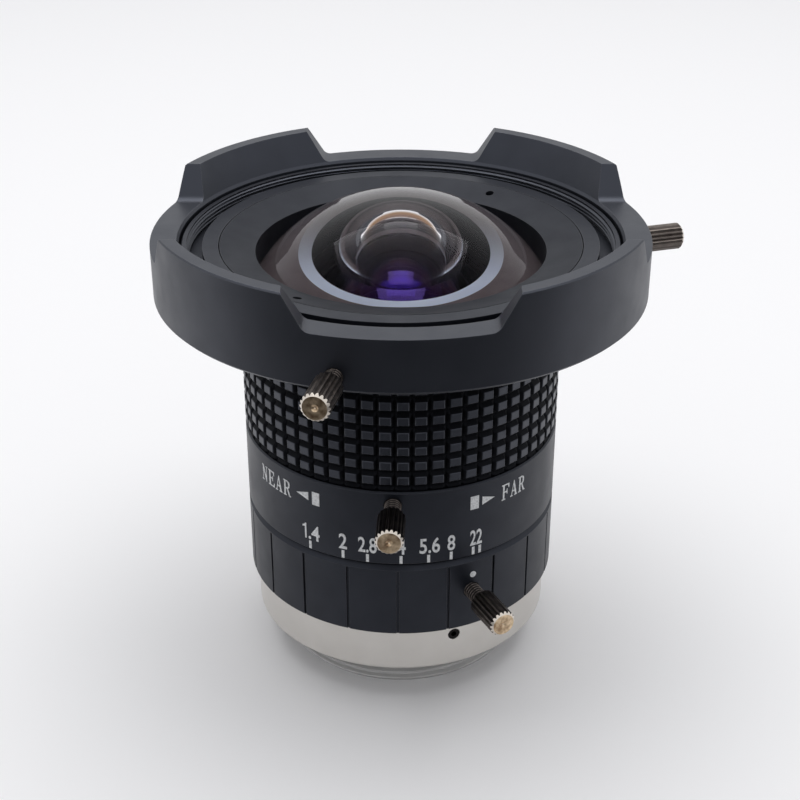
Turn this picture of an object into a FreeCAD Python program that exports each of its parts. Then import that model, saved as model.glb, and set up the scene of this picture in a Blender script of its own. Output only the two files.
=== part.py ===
import FreeCAD, Part

import math
import os
import re

import Sketcher
from FreeCAD import Vector

# A very wide angle f-theta lens with a C mount. The origin is the middle of the flange face and
# +Z runs along the optical axis to the front glass. An azimuth is measured from the front of the
# barrel, where the aperture scale is, towards the right.
SIZES = {
    # fits between pieces, on the radius
    "fixed_fit": 0.05,
    "sliding_fit": 0.1,
    "turning_fit": 0.15,
    "hood_fit": 0.2,
    "press_gap": 0.1,
    # how far a cutter runs past a face, and what a glass blank has before it is ground
    "cutter_reach": 0.5,
    "blank_stock": 3.0,
    # bright foot with the C mount thread
    "thread_radius": 12.7,
    "thread_length": 4.0,
    "thread_bore": 10.4,
    "thread_chamfer": 0.3,
    "relief_width": 0.5,
    "relief_depth": 0.4,
    "face_recess_width": 0.3,
    "face_recess_depth": 0.2,
    "foot_wall": 1.15,
    "foot_floor": 1.2,
    "foot_height": 4.9,
    "foot_chamfer": 0.3,
    "foot_screw_radius": 0.6,
    "foot_screw_drop": 1.0,
    "foot_screw_azimuth": 20.4,
    # fixed barrel with the engraved band, built outwards from the sleeve that slides in it
    "sleeve_radius": 13.1,
    "tube_wall": 1.4,
    "end_thread_wall": 0.7,
    "neck_step": 0.3,
    "skirt_wall": 0.85,
    "band_wall": 1.15,
    "band_height": 8.44,
    "neck_height": 4.1,
    "edge_break": 0.15,
    # rings and the gaps between them
    "foot_gap": 0.2,
    "shadow_gap": 0.26,
    "focus_gap": 0.2,
    "iris_ring_height": 8.3,
    "iris_ring_chamfer": 0.45,
    "grip_line_width": 0.3,
    "grip_line_depth": 0.25,
    "grip_line_count": 20,
    "grip_line_azimuth": -1.1,
    "grip_line_stop": 0.1,
    "focus_height": 11.7,
    "focus_wall": 0.68,
    "skirt_depth": 3.4,
    "skirt_end_gap": 0.2,
    "retainer_gap": 0.3,
    "retainer_height": 0.7,
    # knurl of the focus ring
    "knurl_rows": 7,
    "knurl_pitch": 1.64,
    "knurl_foot": 0.28,
    "knurl_groove": 0.84,
    "knurl_depth": 0.42,
    "knurl_columns": 60,
    "knurl_gap_width": 0.6,
    "knurl_gap_azimuth": 3.7,
    # front barrel, which carries all the glass and slides to focus
    "focus_travel": 0.45,
    "travel_gap": 0.15,
    "sleeve_foot": 4.0,
    "sleeve_wall": 1.4,
    "cell_step": 0.9,
    "head_gap": 0.25,
    "head_step": 0.5,
    "head_cone_step": 0.4,
    "head_cone_height": 2.8,
    "rim_wall": 0.55,
    "rim_height": 7.6,
    "rim_edge_height": 0.4,
    "rim_edge": 0.15,
    "trench_depth": 1.7,
    "trench_width": 1.55,
    "land_width": 1.6,
    "land_drop": 0.3,
    "ring_seat_width": 2.8,
    "ring_seat_depth": 3.8,
    "glass_seat_height": 1.3,
    "clamp_rise": 0.9,
    "screw_groove_width": 1.5,
    "screw_groove_depth": 0.5,
    # front glass and the ring that holds it
    "dome_rise": 4.1,
    "dome_edge": 15.4,
    "dome_edge_height": 1.1,
    "dome_cavity_opening": 9.0,
    "dome_cavity_depth": 6.26,
    "front_ring_lip": 0.75,
    "front_ring_rise": 0.9,
    "spanner_inset": 1.4,
    "spanner_radius": 0.45,
    "spanner_depth": 0.9,
    "spanner_azimuth": 145,
    # inner cell with the glass behind the front element
    "cell_shoulder_drop": 4.0,
    "cell_gap": 0.1,
    "cell_face_wall": 2.2,
    "cell_cone_step": 0.4,
    "second_drop": 4.0,
    "second_edge": 6.7,
    "second_edge_height": 0.87,
    "second_rise": 4.5,
    "second_cavity_opening": 4.9,
    "second_cavity_depth": 3.46,
    "second_ring_step": 0.5,
    "second_ring_lip": 0.6,
    "second_ring_height": 1.33,
    "inner_web": 1.0,
    "inner_glass_edge": 7.9,
    "third_height": 4.5,
    "third_hollow_depth": 1.6,
    "third_hollow_radius": 14.0,
    "inner_spacer_height": 4.0,
    "inner_spacer_wall": 0.9,
    "fourth_edge_height": 2.8,
    "fourth_front_radius": 18.0,
    "fourth_back_radius": 22.0,
    "inner_ring_height": 1.8,
    # iris: a plate with five blades under it, moved by a grooved ring
    "iris_plate_top": 13.0,
    "iris_plate_thickness": 0.6,
    "iris_opening": 3.4,
    "blade_count": 5,
    "blade_gap": 0.1,
    "blade_thickness": 0.12,
    "blade_pitch": 0.24,
    "blade_reach": 5.7,
    "blade_span": 138,
    "blade_pivot_circle": 6.9,
    "blade_pivot_radius": 0.3,
    "blade_root_radius": 0.75,
    "blade_neck_start": 0.3,
    "blade_arm": 1.9,
    "blade_arm_angle": -103,
    "blade_pin_radius": 0.25,
    "blade_stroke": 26,
    "groove_clearance": 0.07,
    "groove_depth": 0.5,
    "drive_ring_thickness": 0.8,
    "drive_ring_gap": 0.12,
    "drive_ring_bore": 5.6,
    "drive_rim_wall": 1.2,
    "drive_rim_height": 2.2,
    "drive_rim_drop": 0.7,
    "drive_pin_radius": 0.4,
    "drive_pin_fit": 0.03,
    "drive_pin_hold": 0.8,
    "drive_pin_azimuth": 206,
    "drive_pin_swing_back": 59.8,
    "drive_pin_swing_on": 2.6,
    "drive_slot_margin": 3.2,
    "snap_ring_thickness": 0.5,
    "snap_ring_clearance": 0.2,
    "snap_ring_seat": 0.3,
    "snap_ring_lip": 0.8,
    "snap_ring_opening": 24,
    # guide screw that keeps the front barrel from turning
    "guide_screw_height": 6.3,
    "guide_screw_radius": 0.8,
    "guide_tip_radius": 0.5,
    "guide_tip_gap": 0.25,
    "guide_azimuth": 90,
    # rear group
    "rear_flange_foot": 4.6,
    "rear_flange_height": 3.8,
    "rear_neck_gap": 0.5,
    "rear_end": -2.6,
    "doublet_seat": 3.4,
    "doublet_edge": 7.9,
    "doublet_joint_height": 1.5,
    "doublet_height": 4.6,
    "doublet_joint_radius": 16.0,
    "doublet_ring_height": 0.4,
    "rear_web": 1.0,
    "rear_web_bore": 6.4,
    "rear_edge": 7.1,
    "rear_height": 2.8,
    "rear_back_radius": 34.0,
    "rear_ring_height": 1.4,
    "glass_ring_wall": 1.1,
    # hood with four petals, clamped on the front barrel by three thumb screws
    "hood_wall": 2.8,
    "hood_foot_drop": 1.5,
    "hood_chamfer": 0.3,
    "hood_floor_rise": 0.45,
    "hood_floor_step": 0.2,
    "petal_wall": 1.4,
    "petal_height": 3.4,
    "petal_gap_foot": 8.5,
    "petal_gap_top": 10.5,
    "petal_fillet": 1.0,
    "hood_screw_azimuth": -13.7,
    # thumb screws
    "stud_radius": 0.85,
    "stud_fit": 0.05,
    "stud_tip_radius": 0.6,
    "stud_tip_length": 0.55,
    "stud_in_knob": 2.6,
    "knob_radius": 1.38,
    "knob_length": 4.5,
    "knob_chamfer": 0.25,
    "knob_flutes": 18,
    "flute_width": 0.36,
    "flute_depth": 0.17,
    "knob_bore_depth": 3.0,
    "knob_dimple": 0.35,
    "hood_knob_standoff": 1.4,
    "lock_knob_standoff": 2.1,
    "focus_lock_azimuth": -2.8,
    "focus_lock_drop": 1.5,
    "iris_lock_azimuth": 26,
    "iris_lock_height": 4.4,
}

# Radii and heights that follow from the sizes: radii outwards, heights from the flange upwards.
PLACES = {
    "barrel_bore": "sleeve_radius + sliding_fit",
    "tube_radius": "barrel_bore + tube_wall",
    "foot_radius": "tube_radius + fixed_fit + foot_wall",
    "end_thread_radius": "barrel_bore + end_thread_wall",
    "neck_radius": "end_thread_radius + neck_step",
    "skirt_radius": "neck_radius + turning_fit + skirt_wall",
    "barrel_radius": "skirt_radius + turning_fit + band_wall",
    "focus_bore": "barrel_radius - knurl_depth - focus_wall",
    "helicoid_radius": "focus_bore - sliding_fit",
    "retainer_radius": "focus_bore - retainer_gap",
    "sleeve_bore": "sleeve_radius - sleeve_wall",
    "cell_bore": "sleeve_bore + cell_step",
    "cell_face_bore": "cell_bore - cell_face_wall",
    "drive_rim_bore": "sleeve_bore - sliding_fit - drive_rim_wall",
    "drive_pin_reach": "sleeve_bore - drive_pin_hold",
    "snap_ring_radius": "sleeve_bore + snap_ring_seat",
    "snap_ring_bore": "sleeve_bore - snap_ring_lip",
    "guide_tip_reach": "sleeve_bore + guide_tip_gap",
    "rear_neck_radius": "thread_bore - rear_neck_gap",
    "front_ring_bore": "dome_edge - front_ring_lip",
    "spanner_circle": "dome_edge + spanner_inset",
    "land_bore": "dome_edge + sliding_fit + ring_seat_width",
    "land_radius": "land_bore + land_width",
    "rim_bore": "land_radius + trench_width",
    "rim_radius": "rim_bore + rim_wall",
    "head_foot_radius": "barrel_radius + head_step",
    "head_cone_radius": "rim_radius - head_cone_step",
    "screw_groove_radius": "rim_radius - screw_groove_depth",
    "hood_bore": "rim_radius + hood_fit",
    "hood_radius": "hood_bore + hood_wall",
    "hood_floor_bore": "hood_bore + hood_floor_step",
    "hood_mouth_bore": "hood_radius - petal_wall",
    "second_ring_radius": "second_edge + second_ring_step",
    "second_ring_bore": "second_edge - second_ring_lip",
    "cell_cone_bore": "second_ring_radius + cell_cone_step",
    "foot_screw_height": "foot_height - foot_screw_drop",
    "iris_ring_foot": "foot_height + foot_gap",
    "iris_ring_top": "iris_ring_foot + iris_ring_height",
    "band_foot": "iris_ring_top + shadow_gap",
    "band_top": "band_foot + band_height",
    "focus_foot": "band_top + focus_gap",
    "focus_top": "focus_foot + focus_height",
    "pocket_floor": "band_top - skirt_depth",
    "neck_top": "band_top + neck_height",
    "retainer_foot": "neck_top + sliding_fit",
    "retainer_top": "retainer_foot + retainer_height",
    "helicoid_foot": "retainer_top + focus_travel + travel_gap",
    "head_foot": "focus_top + focus_travel + head_gap",
    "rim_top": "head_foot + rim_height",
    "ring_seat": "rim_top - ring_seat_depth",
    "glass_seat": "head_foot + glass_seat_height",
    "cone_top": "head_foot + head_cone_height + rim_edge_height",
    "clamp_height": "cone_top + clamp_rise",
    "land_top": "rim_top - land_drop",
    "dome_apex": "rim_top + dome_rise",
    "dome_sag": "dome_apex - glass_seat - dome_edge_height",
    "dome_radius": "(dome_edge^2 + dome_sag^2) / (2 * dome_sag)",
    "dome_centre": "dome_apex - dome_radius",
    "dome_cavity_radius": "(dome_cavity_opening^2 + dome_cavity_depth^2) / (2 * dome_cavity_depth)",
    "dome_cavity_centre": "glass_seat + dome_cavity_depth - dome_cavity_radius",
    "second_seat": "glass_seat - second_drop",
    "second_apex": "second_seat + second_rise",
    "second_sag": "second_rise - second_edge_height",
    "second_radius": "(second_edge^2 + second_sag^2) / (2 * second_sag)",
    "second_centre": "second_apex - second_radius",
    "second_cavity_radius": "(second_cavity_opening^2 + second_cavity_depth^2) / (2 * second_cavity_depth)",
    "second_cavity_centre": "second_seat + second_cavity_depth - second_cavity_radius",
    "second_ring_foot": "second_seat + second_edge_height + press_gap",
    "second_ring_top": "second_ring_foot + second_ring_height",
    "cell_shoulder": "second_seat - cell_shoulder_drop",
    "cell_face": "glass_seat - cell_gap",
    "spacer_bore": "inner_glass_edge - inner_spacer_wall",
    "third_top": "second_seat - inner_web",
    "third_foot": "third_top - third_height",
    "fourth_edge_top": "third_foot - inner_spacer_height",
    "fourth_edge_foot": "fourth_edge_top - fourth_edge_height",
    "inner_ring_foot": "fourth_edge_foot - inner_ring_height",
    "iris_plate_foot": "iris_plate_top - iris_plate_thickness",
    "blade_stack": "(blade_count - 1) * blade_pitch + blade_thickness",
    "blade_foot": "iris_plate_foot - blade_gap - blade_stack",
    "ring_stroke": "drive_pin_swing_back + drive_pin_swing_on",
    "blade_rest": "blade_stroke * drive_pin_swing_back / ring_stroke",
    "drive_ring_top": "blade_foot - drive_ring_gap",
    "drive_ring_foot": "drive_ring_top - drive_ring_thickness",
    "drive_rim_foot": "drive_ring_foot - drive_rim_drop",
    "drive_rim_middle": "drive_rim_foot + drive_rim_height / 2",
    "snap_ring_top": "drive_rim_foot - snap_ring_clearance",
    "snap_ring_foot": "snap_ring_top - snap_ring_thickness",
    "hood_foot": "clamp_height - hood_foot_drop",
    "hood_floor": "rim_top + hood_floor_rise",
    "hood_top": "hood_floor + petal_height",
    "focus_lock_height": "band_top - focus_lock_drop",
    "iris_lock_middle": "iris_ring_foot + iris_lock_height",
    "stud_hole": "stud_radius + stud_fit",
}
# Lengths and volumes below this count as nothing.
TOLERANCE = 1e-6

doc = FreeCAD.newDocument("FThetaLens")
pieces = []


def refer(text):
    """The expression with each size and place named in its sheet."""
    def full_name(word):
        if word[0] in SIZES:
            return "Sizes." + word[0]
        if word[0] in PLACES:
            return "Places." + word[0]
        return word[0]
    return re.sub(r"[a-z_]\w*", full_name, text)


def value(text):
    """The number that an expression of sizes and places comes to."""
    return float(doc.Sizes.evalExpression(refer(text)))


def write_sheets():
    """One sheet with the driving sizes and one with the places worked out from them."""
    sizes = doc.addObject("Spreadsheet::Sheet", "Sizes")
    for row, (alias, number) in enumerate(SIZES.items(), start=1):
        sizes.set(f"A{row}", alias)
        sizes.set(f"B{row}", str(number))
        sizes.setAlias(f"B{row}", alias)
    places = doc.addObject("Spreadsheet::Sheet", "Places")
    for row, (alias, formula) in enumerate(PLACES.items(), start=1):
        places.set(f"A{row}", alias)
        places.set(f"B{row}", "=" + refer(formula).replace("Places.", ""))
        places.setAlias(f"B{row}", alias)
    doc.recompute()


def keep(piece, label):
    """Name a finished piece and count it among the pieces of the lens."""
    piece.Label = label
    pieces.append(piece)
    return piece


def sketch_on(body, name, role, corners):
    """A closed sketch through corners on a plane of the body, each corner tied to its two sizes."""
    sketch = body.newObject("Sketcher::SketchObject", name)
    plane = next(feature for feature in body.Origin.OriginFeatures if feature.Role == role)
    sketch.AttachmentSupport = [(plane, "")]
    sketch.MapMode = "FlatFace"
    points = [Vector(value(across), value(up), 0) for across, up in corners]
    for point, following in zip(points, points[1:] + points[:1]):
        sketch.addGeometry(Part.LineSegment(point, following))
    for index in range(len(points)):
        following = (index + 1) % len(points)
        sketch.addConstraint(Sketcher.Constraint("Coincident", index, 2, following, 1))
    for index, texts in enumerate(corners):
        for kind, text in zip(("DistanceX", "DistanceY"), texts):
            tie = sketch.addConstraint(Sketcher.Constraint(kind, -1, 1, index, 1, value(text)))
            sketch.setExpression(f"Constraints[{tie}]", refer(text))
    return sketch


def turned(name, section):
    """A turned body: its half section, as (radius, height) corners, revolved about the axis."""
    body = doc.addObject("PartDesign::Body", name)
    sketch = sketch_on(body, name + "_section", "XZ_Plane", section)
    revolution = body.newObject("PartDesign::Revolution", name + "_turn")
    revolution.Profile = sketch
    revolution.ReferenceAxis = (sketch, ["V_Axis"])
    revolution.Angle = 360
    doc.recompute()
    return body


def cut_around(body, name, plan, foot, length, count):
    """Cut a pocket of the given plan from foot upwards, repeated evenly about the axis."""
    before = body.Shape.Volume
    sketch = sketch_on(body, name + "_plan", "XY_Plane", plan)
    sketch.setExpression("AttachmentOffset.Base.z", refer(foot))
    pocket = body.newObject("PartDesign::Pocket", name)
    pocket.Profile = sketch
    pocket.Reversed = True
    pocket.setExpression("Length", refer(length))
    doc.recompute()
    pattern = body.newObject("PartDesign::PolarPattern", name + "_pattern")
    pattern.Originals = [pocket]
    pattern.Axis = (sketch, ["N_Axis"])
    pattern.Angle = 360
    pattern.setExpression("Occurrences", refer(count))
    body.Tip = pattern
    doc.recompute()
    assert body.Shape.Volume < before - TOLERANCE, name + " cut nothing"
    return body


def vee_groove(middle, floor, width, depth):
    """The plan of a V groove that faces the front: its sides run on past the surface by half its depth."""
    run_on = f"({depth}) / 2"
    half_width = f"({width}) / 2 * (({depth}) + {run_on}) / ({depth})"
    outside = f"({floor}) - ({depth}) - {run_on}"
    return [
        (f"{middle} - {half_width}", outside),
        (middle, floor),
        (f"{middle} + {half_width}", outside),
    ]


def rod(name, radius, length):
    """A plain cylinder along Z from the origin."""
    cylinder = doc.addObject("Part::Cylinder", name)
    cylinder.setExpression("Radius", refer(radius))
    cylinder.setExpression("Height", refer(length))
    return cylinder


def ball(name, radius, height):
    """A sphere on the axis with its centre at the given height."""
    sphere = doc.addObject("Part::Sphere", name)
    sphere.setExpression("Radius", refer(radius))
    sphere.setExpression("Placement.Base.z", refer(height))
    return sphere


def cut(name, base, tools):
    """The base with the tools taken out of it."""
    tool = tools[0]
    if len(tools) > 1:
        tool = doc.addObject("Part::MultiFuse", name + "_tools")
        tool.Shapes = tools
    piece = doc.addObject("Part::Cut", name + "_cut")
    piece.Base = base
    piece.Tool = tool
    return piece


def stand_radially(piece, azimuth, height, radius="0"):
    """Lay a piece modelled along Z on a radius of the lens, starting at the given radius."""
    base = f"vector(({radius}) * sin({azimuth}), -({radius}) * cos({azimuth}), {height})"
    turn = f"rotation(vector(0, 0, 1), {azimuth}) * rotation(vector(1, 0, 0), 90)"
    piece.setExpression("Placement", refer(f"placement({base}, {turn})"))
    return piece


def stand_upright(piece, azimuth, radius, foot):
    """Stand a piece modelled along Z at a radius and azimuth, with its foot at a height."""
    base = f"vector(({radius}) * sin({azimuth}), -({radius}) * cos({azimuth}), {foot})"
    piece.setExpression("Placement", refer(f"placement({base}, rotation(vector(0, 0, 1), 0))"))
    return piece


def radial_hole(name, radius, azimuth, height):
    """A drill from the axis outwards, past the outside of the widest ring."""
    return stand_radially(rod(name, radius, "hood_radius + cutter_reach"), azimuth, height)


def window(name, radius, start, end, foot, top):
    """A sector about the axis that cuts a window in a tube, between two azimuths."""
    sector = rod(name, radius, f"({top}) - ({foot})")
    sector.setExpression("Angle", refer(f"({end}) - ({start})"))
    turn = f"rotation(vector(0, 0, 1), {start} - 90)"
    sector.setExpression("Placement", refer(f"placement(vector(0, 0, {foot}), {turn})"))
    return sector


def sphere_at(centre, radius, at):
    """The height of a sphere's front surface at a distance from the axis."""
    return f"{centre} + sqrt({radius}^2 - ({at})^2)"


def blank(name, edge, foot, top):
    """The cylinder that a lens element is ground from."""
    cylinder = rod(name, edge, f"({top}) - ({foot})")
    cylinder.setExpression("Placement.Base.z", refer(foot))
    return cylinder


def domed(name, base, sphere):
    """A blank ground to a convex surface."""
    piece = doc.addObject("Part::Common", name)
    piece.Base = base
    piece.Tool = sphere
    return piece


def make_mount():
    """The bright foot: C mount thread, recessed flange face and the skirt that holds the barrel."""
    foot = turned("mount_base_turned", [
        ("thread_bore", "-thread_length"),
        ("thread_radius - thread_chamfer", "-thread_length"),
        ("thread_radius", "thread_chamfer - thread_length"),
        ("thread_radius", "-relief_width"),
        ("thread_radius - relief_depth", "-relief_width"),
        ("thread_radius - relief_depth", "face_recess_depth"),
        ("thread_radius + face_recess_width", "face_recess_depth"),
        ("thread_radius + face_recess_width", "0"),
        ("foot_radius - foot_chamfer", "0"),
        ("foot_radius", "foot_chamfer"),
        ("foot_radius", "foot_height - edge_break"),
        ("foot_radius - edge_break", "foot_height"),
        ("tube_radius + fixed_fit", "foot_height"),
        ("tube_radius + fixed_fit", "foot_floor"),
        ("thread_bore", "foot_floor"),
    ])
    azimuths = [f"foot_screw_azimuth + {turn}" for turn in (0, 120, 240)]
    holes = [
        radial_hole(f"foot_screw_hole_{index}", "foot_screw_radius + fixed_fit", azimuth,
                    "foot_screw_height")
        for index, azimuth in enumerate(azimuths, start=1)
    ]
    keep(cut("mount_base", foot, holes), "mount_base")
    screws = []
    for index, azimuth in enumerate(azimuths, start=1):
        length = "foot_radius - tube_radius - sliding_fit"
        screw = turned(f"foot_screw_{index}", [
            ("0", "0"),
            ("foot_screw_radius - edge_break", "0"),
            ("foot_screw_radius", "edge_break"),
            ("foot_screw_radius", length),
            ("foot_screw_radius / 2", length),
            ("foot_screw_radius / 2", f"({length}) / 2"),
            ("0", f"({length}) / 2"),
        ])
        screws.append(stand_radially(screw, azimuth, "foot_screw_height", "tube_radius + fixed_fit"))
    group = doc.addObject("Part::Compound", "mount_set_screws_group")
    group.Links = screws
    keep(group, "mount_set_screws")


def make_main_barrel():
    """The fixed barrel: tube inside the foot and iris ring, engraved band, and neck."""
    body = turned("main_barrel_turned", [
        ("barrel_bore", "foot_floor"),
        ("tube_radius", "foot_floor"),
        ("tube_radius", "band_foot"),
        ("barrel_radius - edge_break", "band_foot"),
        ("barrel_radius", "band_foot + edge_break"),
        ("barrel_radius", "band_top - edge_break"),
        ("barrel_radius - edge_break", "band_top"),
        ("skirt_radius + turning_fit", "band_top"),
        ("skirt_radius + turning_fit", "pocket_floor"),
        ("neck_radius", "pocket_floor"),
        ("neck_radius", "neck_top"),
        ("end_thread_radius", "neck_top"),
        ("end_thread_radius", "retainer_top"),
        ("barrel_bore", "retainer_top"),
    ])
    half_slot = "(drive_pin_radius + turning_fit)"
    slot = window("drive_slot", "tube_radius + cutter_reach",
                  "drive_pin_azimuth - drive_pin_swing_back - drive_slot_margin",
                  "drive_pin_azimuth + drive_pin_swing_on + drive_slot_margin",
                  f"drive_rim_middle - {half_slot}", f"drive_rim_middle + {half_slot}")
    guide_hole = radial_hole("guide_hole", "guide_screw_radius + fixed_fit", "guide_azimuth",
                             "guide_screw_height")
    lock_drill = rod("focus_lock_drill", "stud_hole", "barrel_radius - neck_radius")
    lock_hole = stand_radially(lock_drill, "focus_lock_azimuth", "focus_lock_height",
                               "neck_radius + turning_fit")
    keep(cut("main_barrel", body, [slot, guide_hole, lock_hole]), "main_barrel")
    shank = "tube_radius - barrel_bore - fixed_fit"
    screw = turned("guide_screw_turned", [
        ("0", "0"),
        ("guide_tip_radius", "0"),
        ("guide_tip_radius", "barrel_bore - guide_tip_reach"),
        ("guide_screw_radius", "barrel_bore - guide_tip_reach"),
        ("guide_screw_radius", f"barrel_bore - guide_tip_reach + {shank}"),
        ("0", f"barrel_bore - guide_tip_reach + {shank}"),
    ])
    stand_radially(screw, "guide_azimuth", "guide_screw_height", "guide_tip_reach")
    keep(screw, "guide_screw")
    keep(turned("retainer_turned", [
        ("end_thread_radius + fixed_fit", "retainer_foot"),
        ("retainer_radius", "retainer_foot"),
        ("retainer_radius", "retainer_top"),
        ("end_thread_radius + fixed_fit", "retainer_top"),
    ]), "focus_ring_retainer")


def make_focus_ring():
    """The knurled ring: rows of grooves turned round it and columns of grooves cut down it."""
    rows = []
    for row in range(SIZES["knurl_rows"]):
        groove = f"focus_foot + knurl_foot + {row} * knurl_pitch"
        rows += [
            ("barrel_radius - knurl_depth", groove),
            ("barrel_radius", f"{groove} + knurl_groove / 2"),
            ("barrel_radius", f"{groove} + knurl_pitch - knurl_groove / 2"),
        ]
    body = turned("focus_ring_turned", [
        ("skirt_radius", "pocket_floor + skirt_end_gap"),
        ("skirt_radius", "focus_foot"),
        ("barrel_radius - knurl_depth", "focus_foot"),
        *rows,
        ("barrel_radius - knurl_depth", "focus_top"),
        ("focus_bore", "focus_top"),
        ("focus_bore", "neck_top"),
        ("neck_radius + turning_fit", "neck_top"),
        ("neck_radius + turning_fit", "pocket_floor + skirt_end_gap"),
    ])
    column = vee_groove("barrel_radius * sin(knurl_gap_azimuth)",
                        "knurl_depth - barrel_radius * cos(knurl_gap_azimuth)",
                        "knurl_gap_width", "knurl_depth")
    cut_around(body, "knurl_column", column, "focus_foot - cutter_reach",
               "focus_height + 2 * cutter_reach", "knurl_columns")
    keep(body, "focus_ring")


def make_front_barrel():
    """The front barrel: sleeve in the fixed barrel, helicoid neck and wide head."""
    groove_foot = "clamp_height - screw_groove_width / 2"
    groove_top = "clamp_height + screw_groove_width / 2"
    body = turned("front_barrel_turned", [
        ("sleeve_bore", "sleeve_foot"),
        ("sleeve_radius", "sleeve_foot"),
        ("sleeve_radius", "helicoid_foot"),
        ("helicoid_radius", "helicoid_foot"),
        ("helicoid_radius", "head_foot"),
        ("head_foot_radius", "head_foot"),
        ("head_cone_radius", "cone_top - rim_edge_height"),
        ("rim_radius", "cone_top"),
        ("rim_radius", groove_foot),
        ("screw_groove_radius", groove_foot),
        ("screw_groove_radius", groove_top),
        ("rim_radius", groove_top),
        ("rim_radius", "rim_top - rim_edge"),
        ("rim_radius - rim_edge", "rim_top"),
        ("rim_bore", "rim_top"),
        ("rim_bore", "rim_top - trench_depth"),
        ("land_radius", "rim_top - trench_depth"),
        ("land_radius", "land_top"),
        ("land_bore", "land_top"),
        ("land_bore", "ring_seat"),
        ("dome_edge + sliding_fit", "ring_seat"),
        ("dome_edge + sliding_fit", "glass_seat"),
        ("cell_bore", "glass_seat"),
        ("cell_bore", "cell_shoulder"),
        ("sleeve_bore", "cell_shoulder"),
    ])
    half_window = "(drive_rim_height / 2)"
    drive_window = window("sleeve_window", "sleeve_radius + cutter_reach",
                          "drive_pin_azimuth - drive_pin_swing_back - drive_slot_margin",
                          "drive_pin_azimuth + drive_pin_swing_on + drive_slot_margin",
                          f"drive_rim_middle - {half_window}", f"drive_rim_middle + {half_window}")
    half_width = "(guide_tip_radius + fixed_fit)"
    half_length = "(guide_tip_radius + focus_travel + travel_gap)"
    key_slot = doc.addObject("Part::Box", "guide_slot")
    key_slot.setExpression("Length", refer(f"2 * {half_width}"))
    key_slot.setExpression("Width", refer(f"2 * {half_length}"))
    key_slot.setExpression("Height", refer("sleeve_radius + cutter_reach"))
    key_turn = "rotation(vector(0, 0, 1), guide_azimuth) * rotation(vector(1, 0, 0), 90)"
    key_base = (f"vector(-{half_width} * cos(guide_azimuth), -{half_width} * sin(guide_azimuth), "
                f"guide_screw_height - {half_length})")
    key_slot.setExpression("Placement", refer(f"placement({key_base}, {key_turn})"))
    snap_groove = cut("snap_groove",
                      blank("snap_groove_disc", "snap_ring_radius + fixed_fit",
                            "snap_ring_foot - fixed_fit", "snap_ring_top"),
                      [blank("snap_groove_core", "sleeve_bore - fixed_fit",
                             "snap_ring_foot - cutter_reach", "snap_ring_top + cutter_reach")])
    keep(cut("front_barrel", body, [drive_window, key_slot, snap_groove]), "front_barrel")


def make_front_glass():
    """The domed front element and the ring with two spanner holes that holds it."""
    dome = domed("dome", blank("dome_blank", "dome_edge", "glass_seat", "dome_apex + blank_stock"),
                 ball("dome_ball", "dome_radius", "dome_centre"))
    cavity = ball("dome_cavity", "dome_cavity_radius", "dome_cavity_centre")
    keep(cut("front_element", dome, [cavity]), "front_element")
    ring = turned("front_ring_turned", [
        ("front_ring_bore", "land_top - front_ring_rise"),
        ("land_bore - sliding_fit", "land_top"),
        ("land_bore - sliding_fit", "ring_seat"),
        ("dome_edge", "ring_seat"),
        ("dome_edge", sphere_at("press_gap + dome_centre", "dome_radius", "dome_edge")),
        ("front_ring_bore", sphere_at("press_gap + dome_centre", "dome_radius", "front_ring_bore")),
    ])
    holes = []
    for index, azimuth in enumerate(("spanner_azimuth", "spanner_azimuth - 180"), start=1):
        drill = rod(f"spanner_drill_{index}", "spanner_radius", "front_ring_rise + spanner_depth")
        holes.append(stand_upright(drill, azimuth, "spanner_circle",
                                   "land_top - front_ring_rise / 2 - spanner_depth"))
    keep(cut("front_retaining_ring", ring, holes), "front_retaining_ring")


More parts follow.
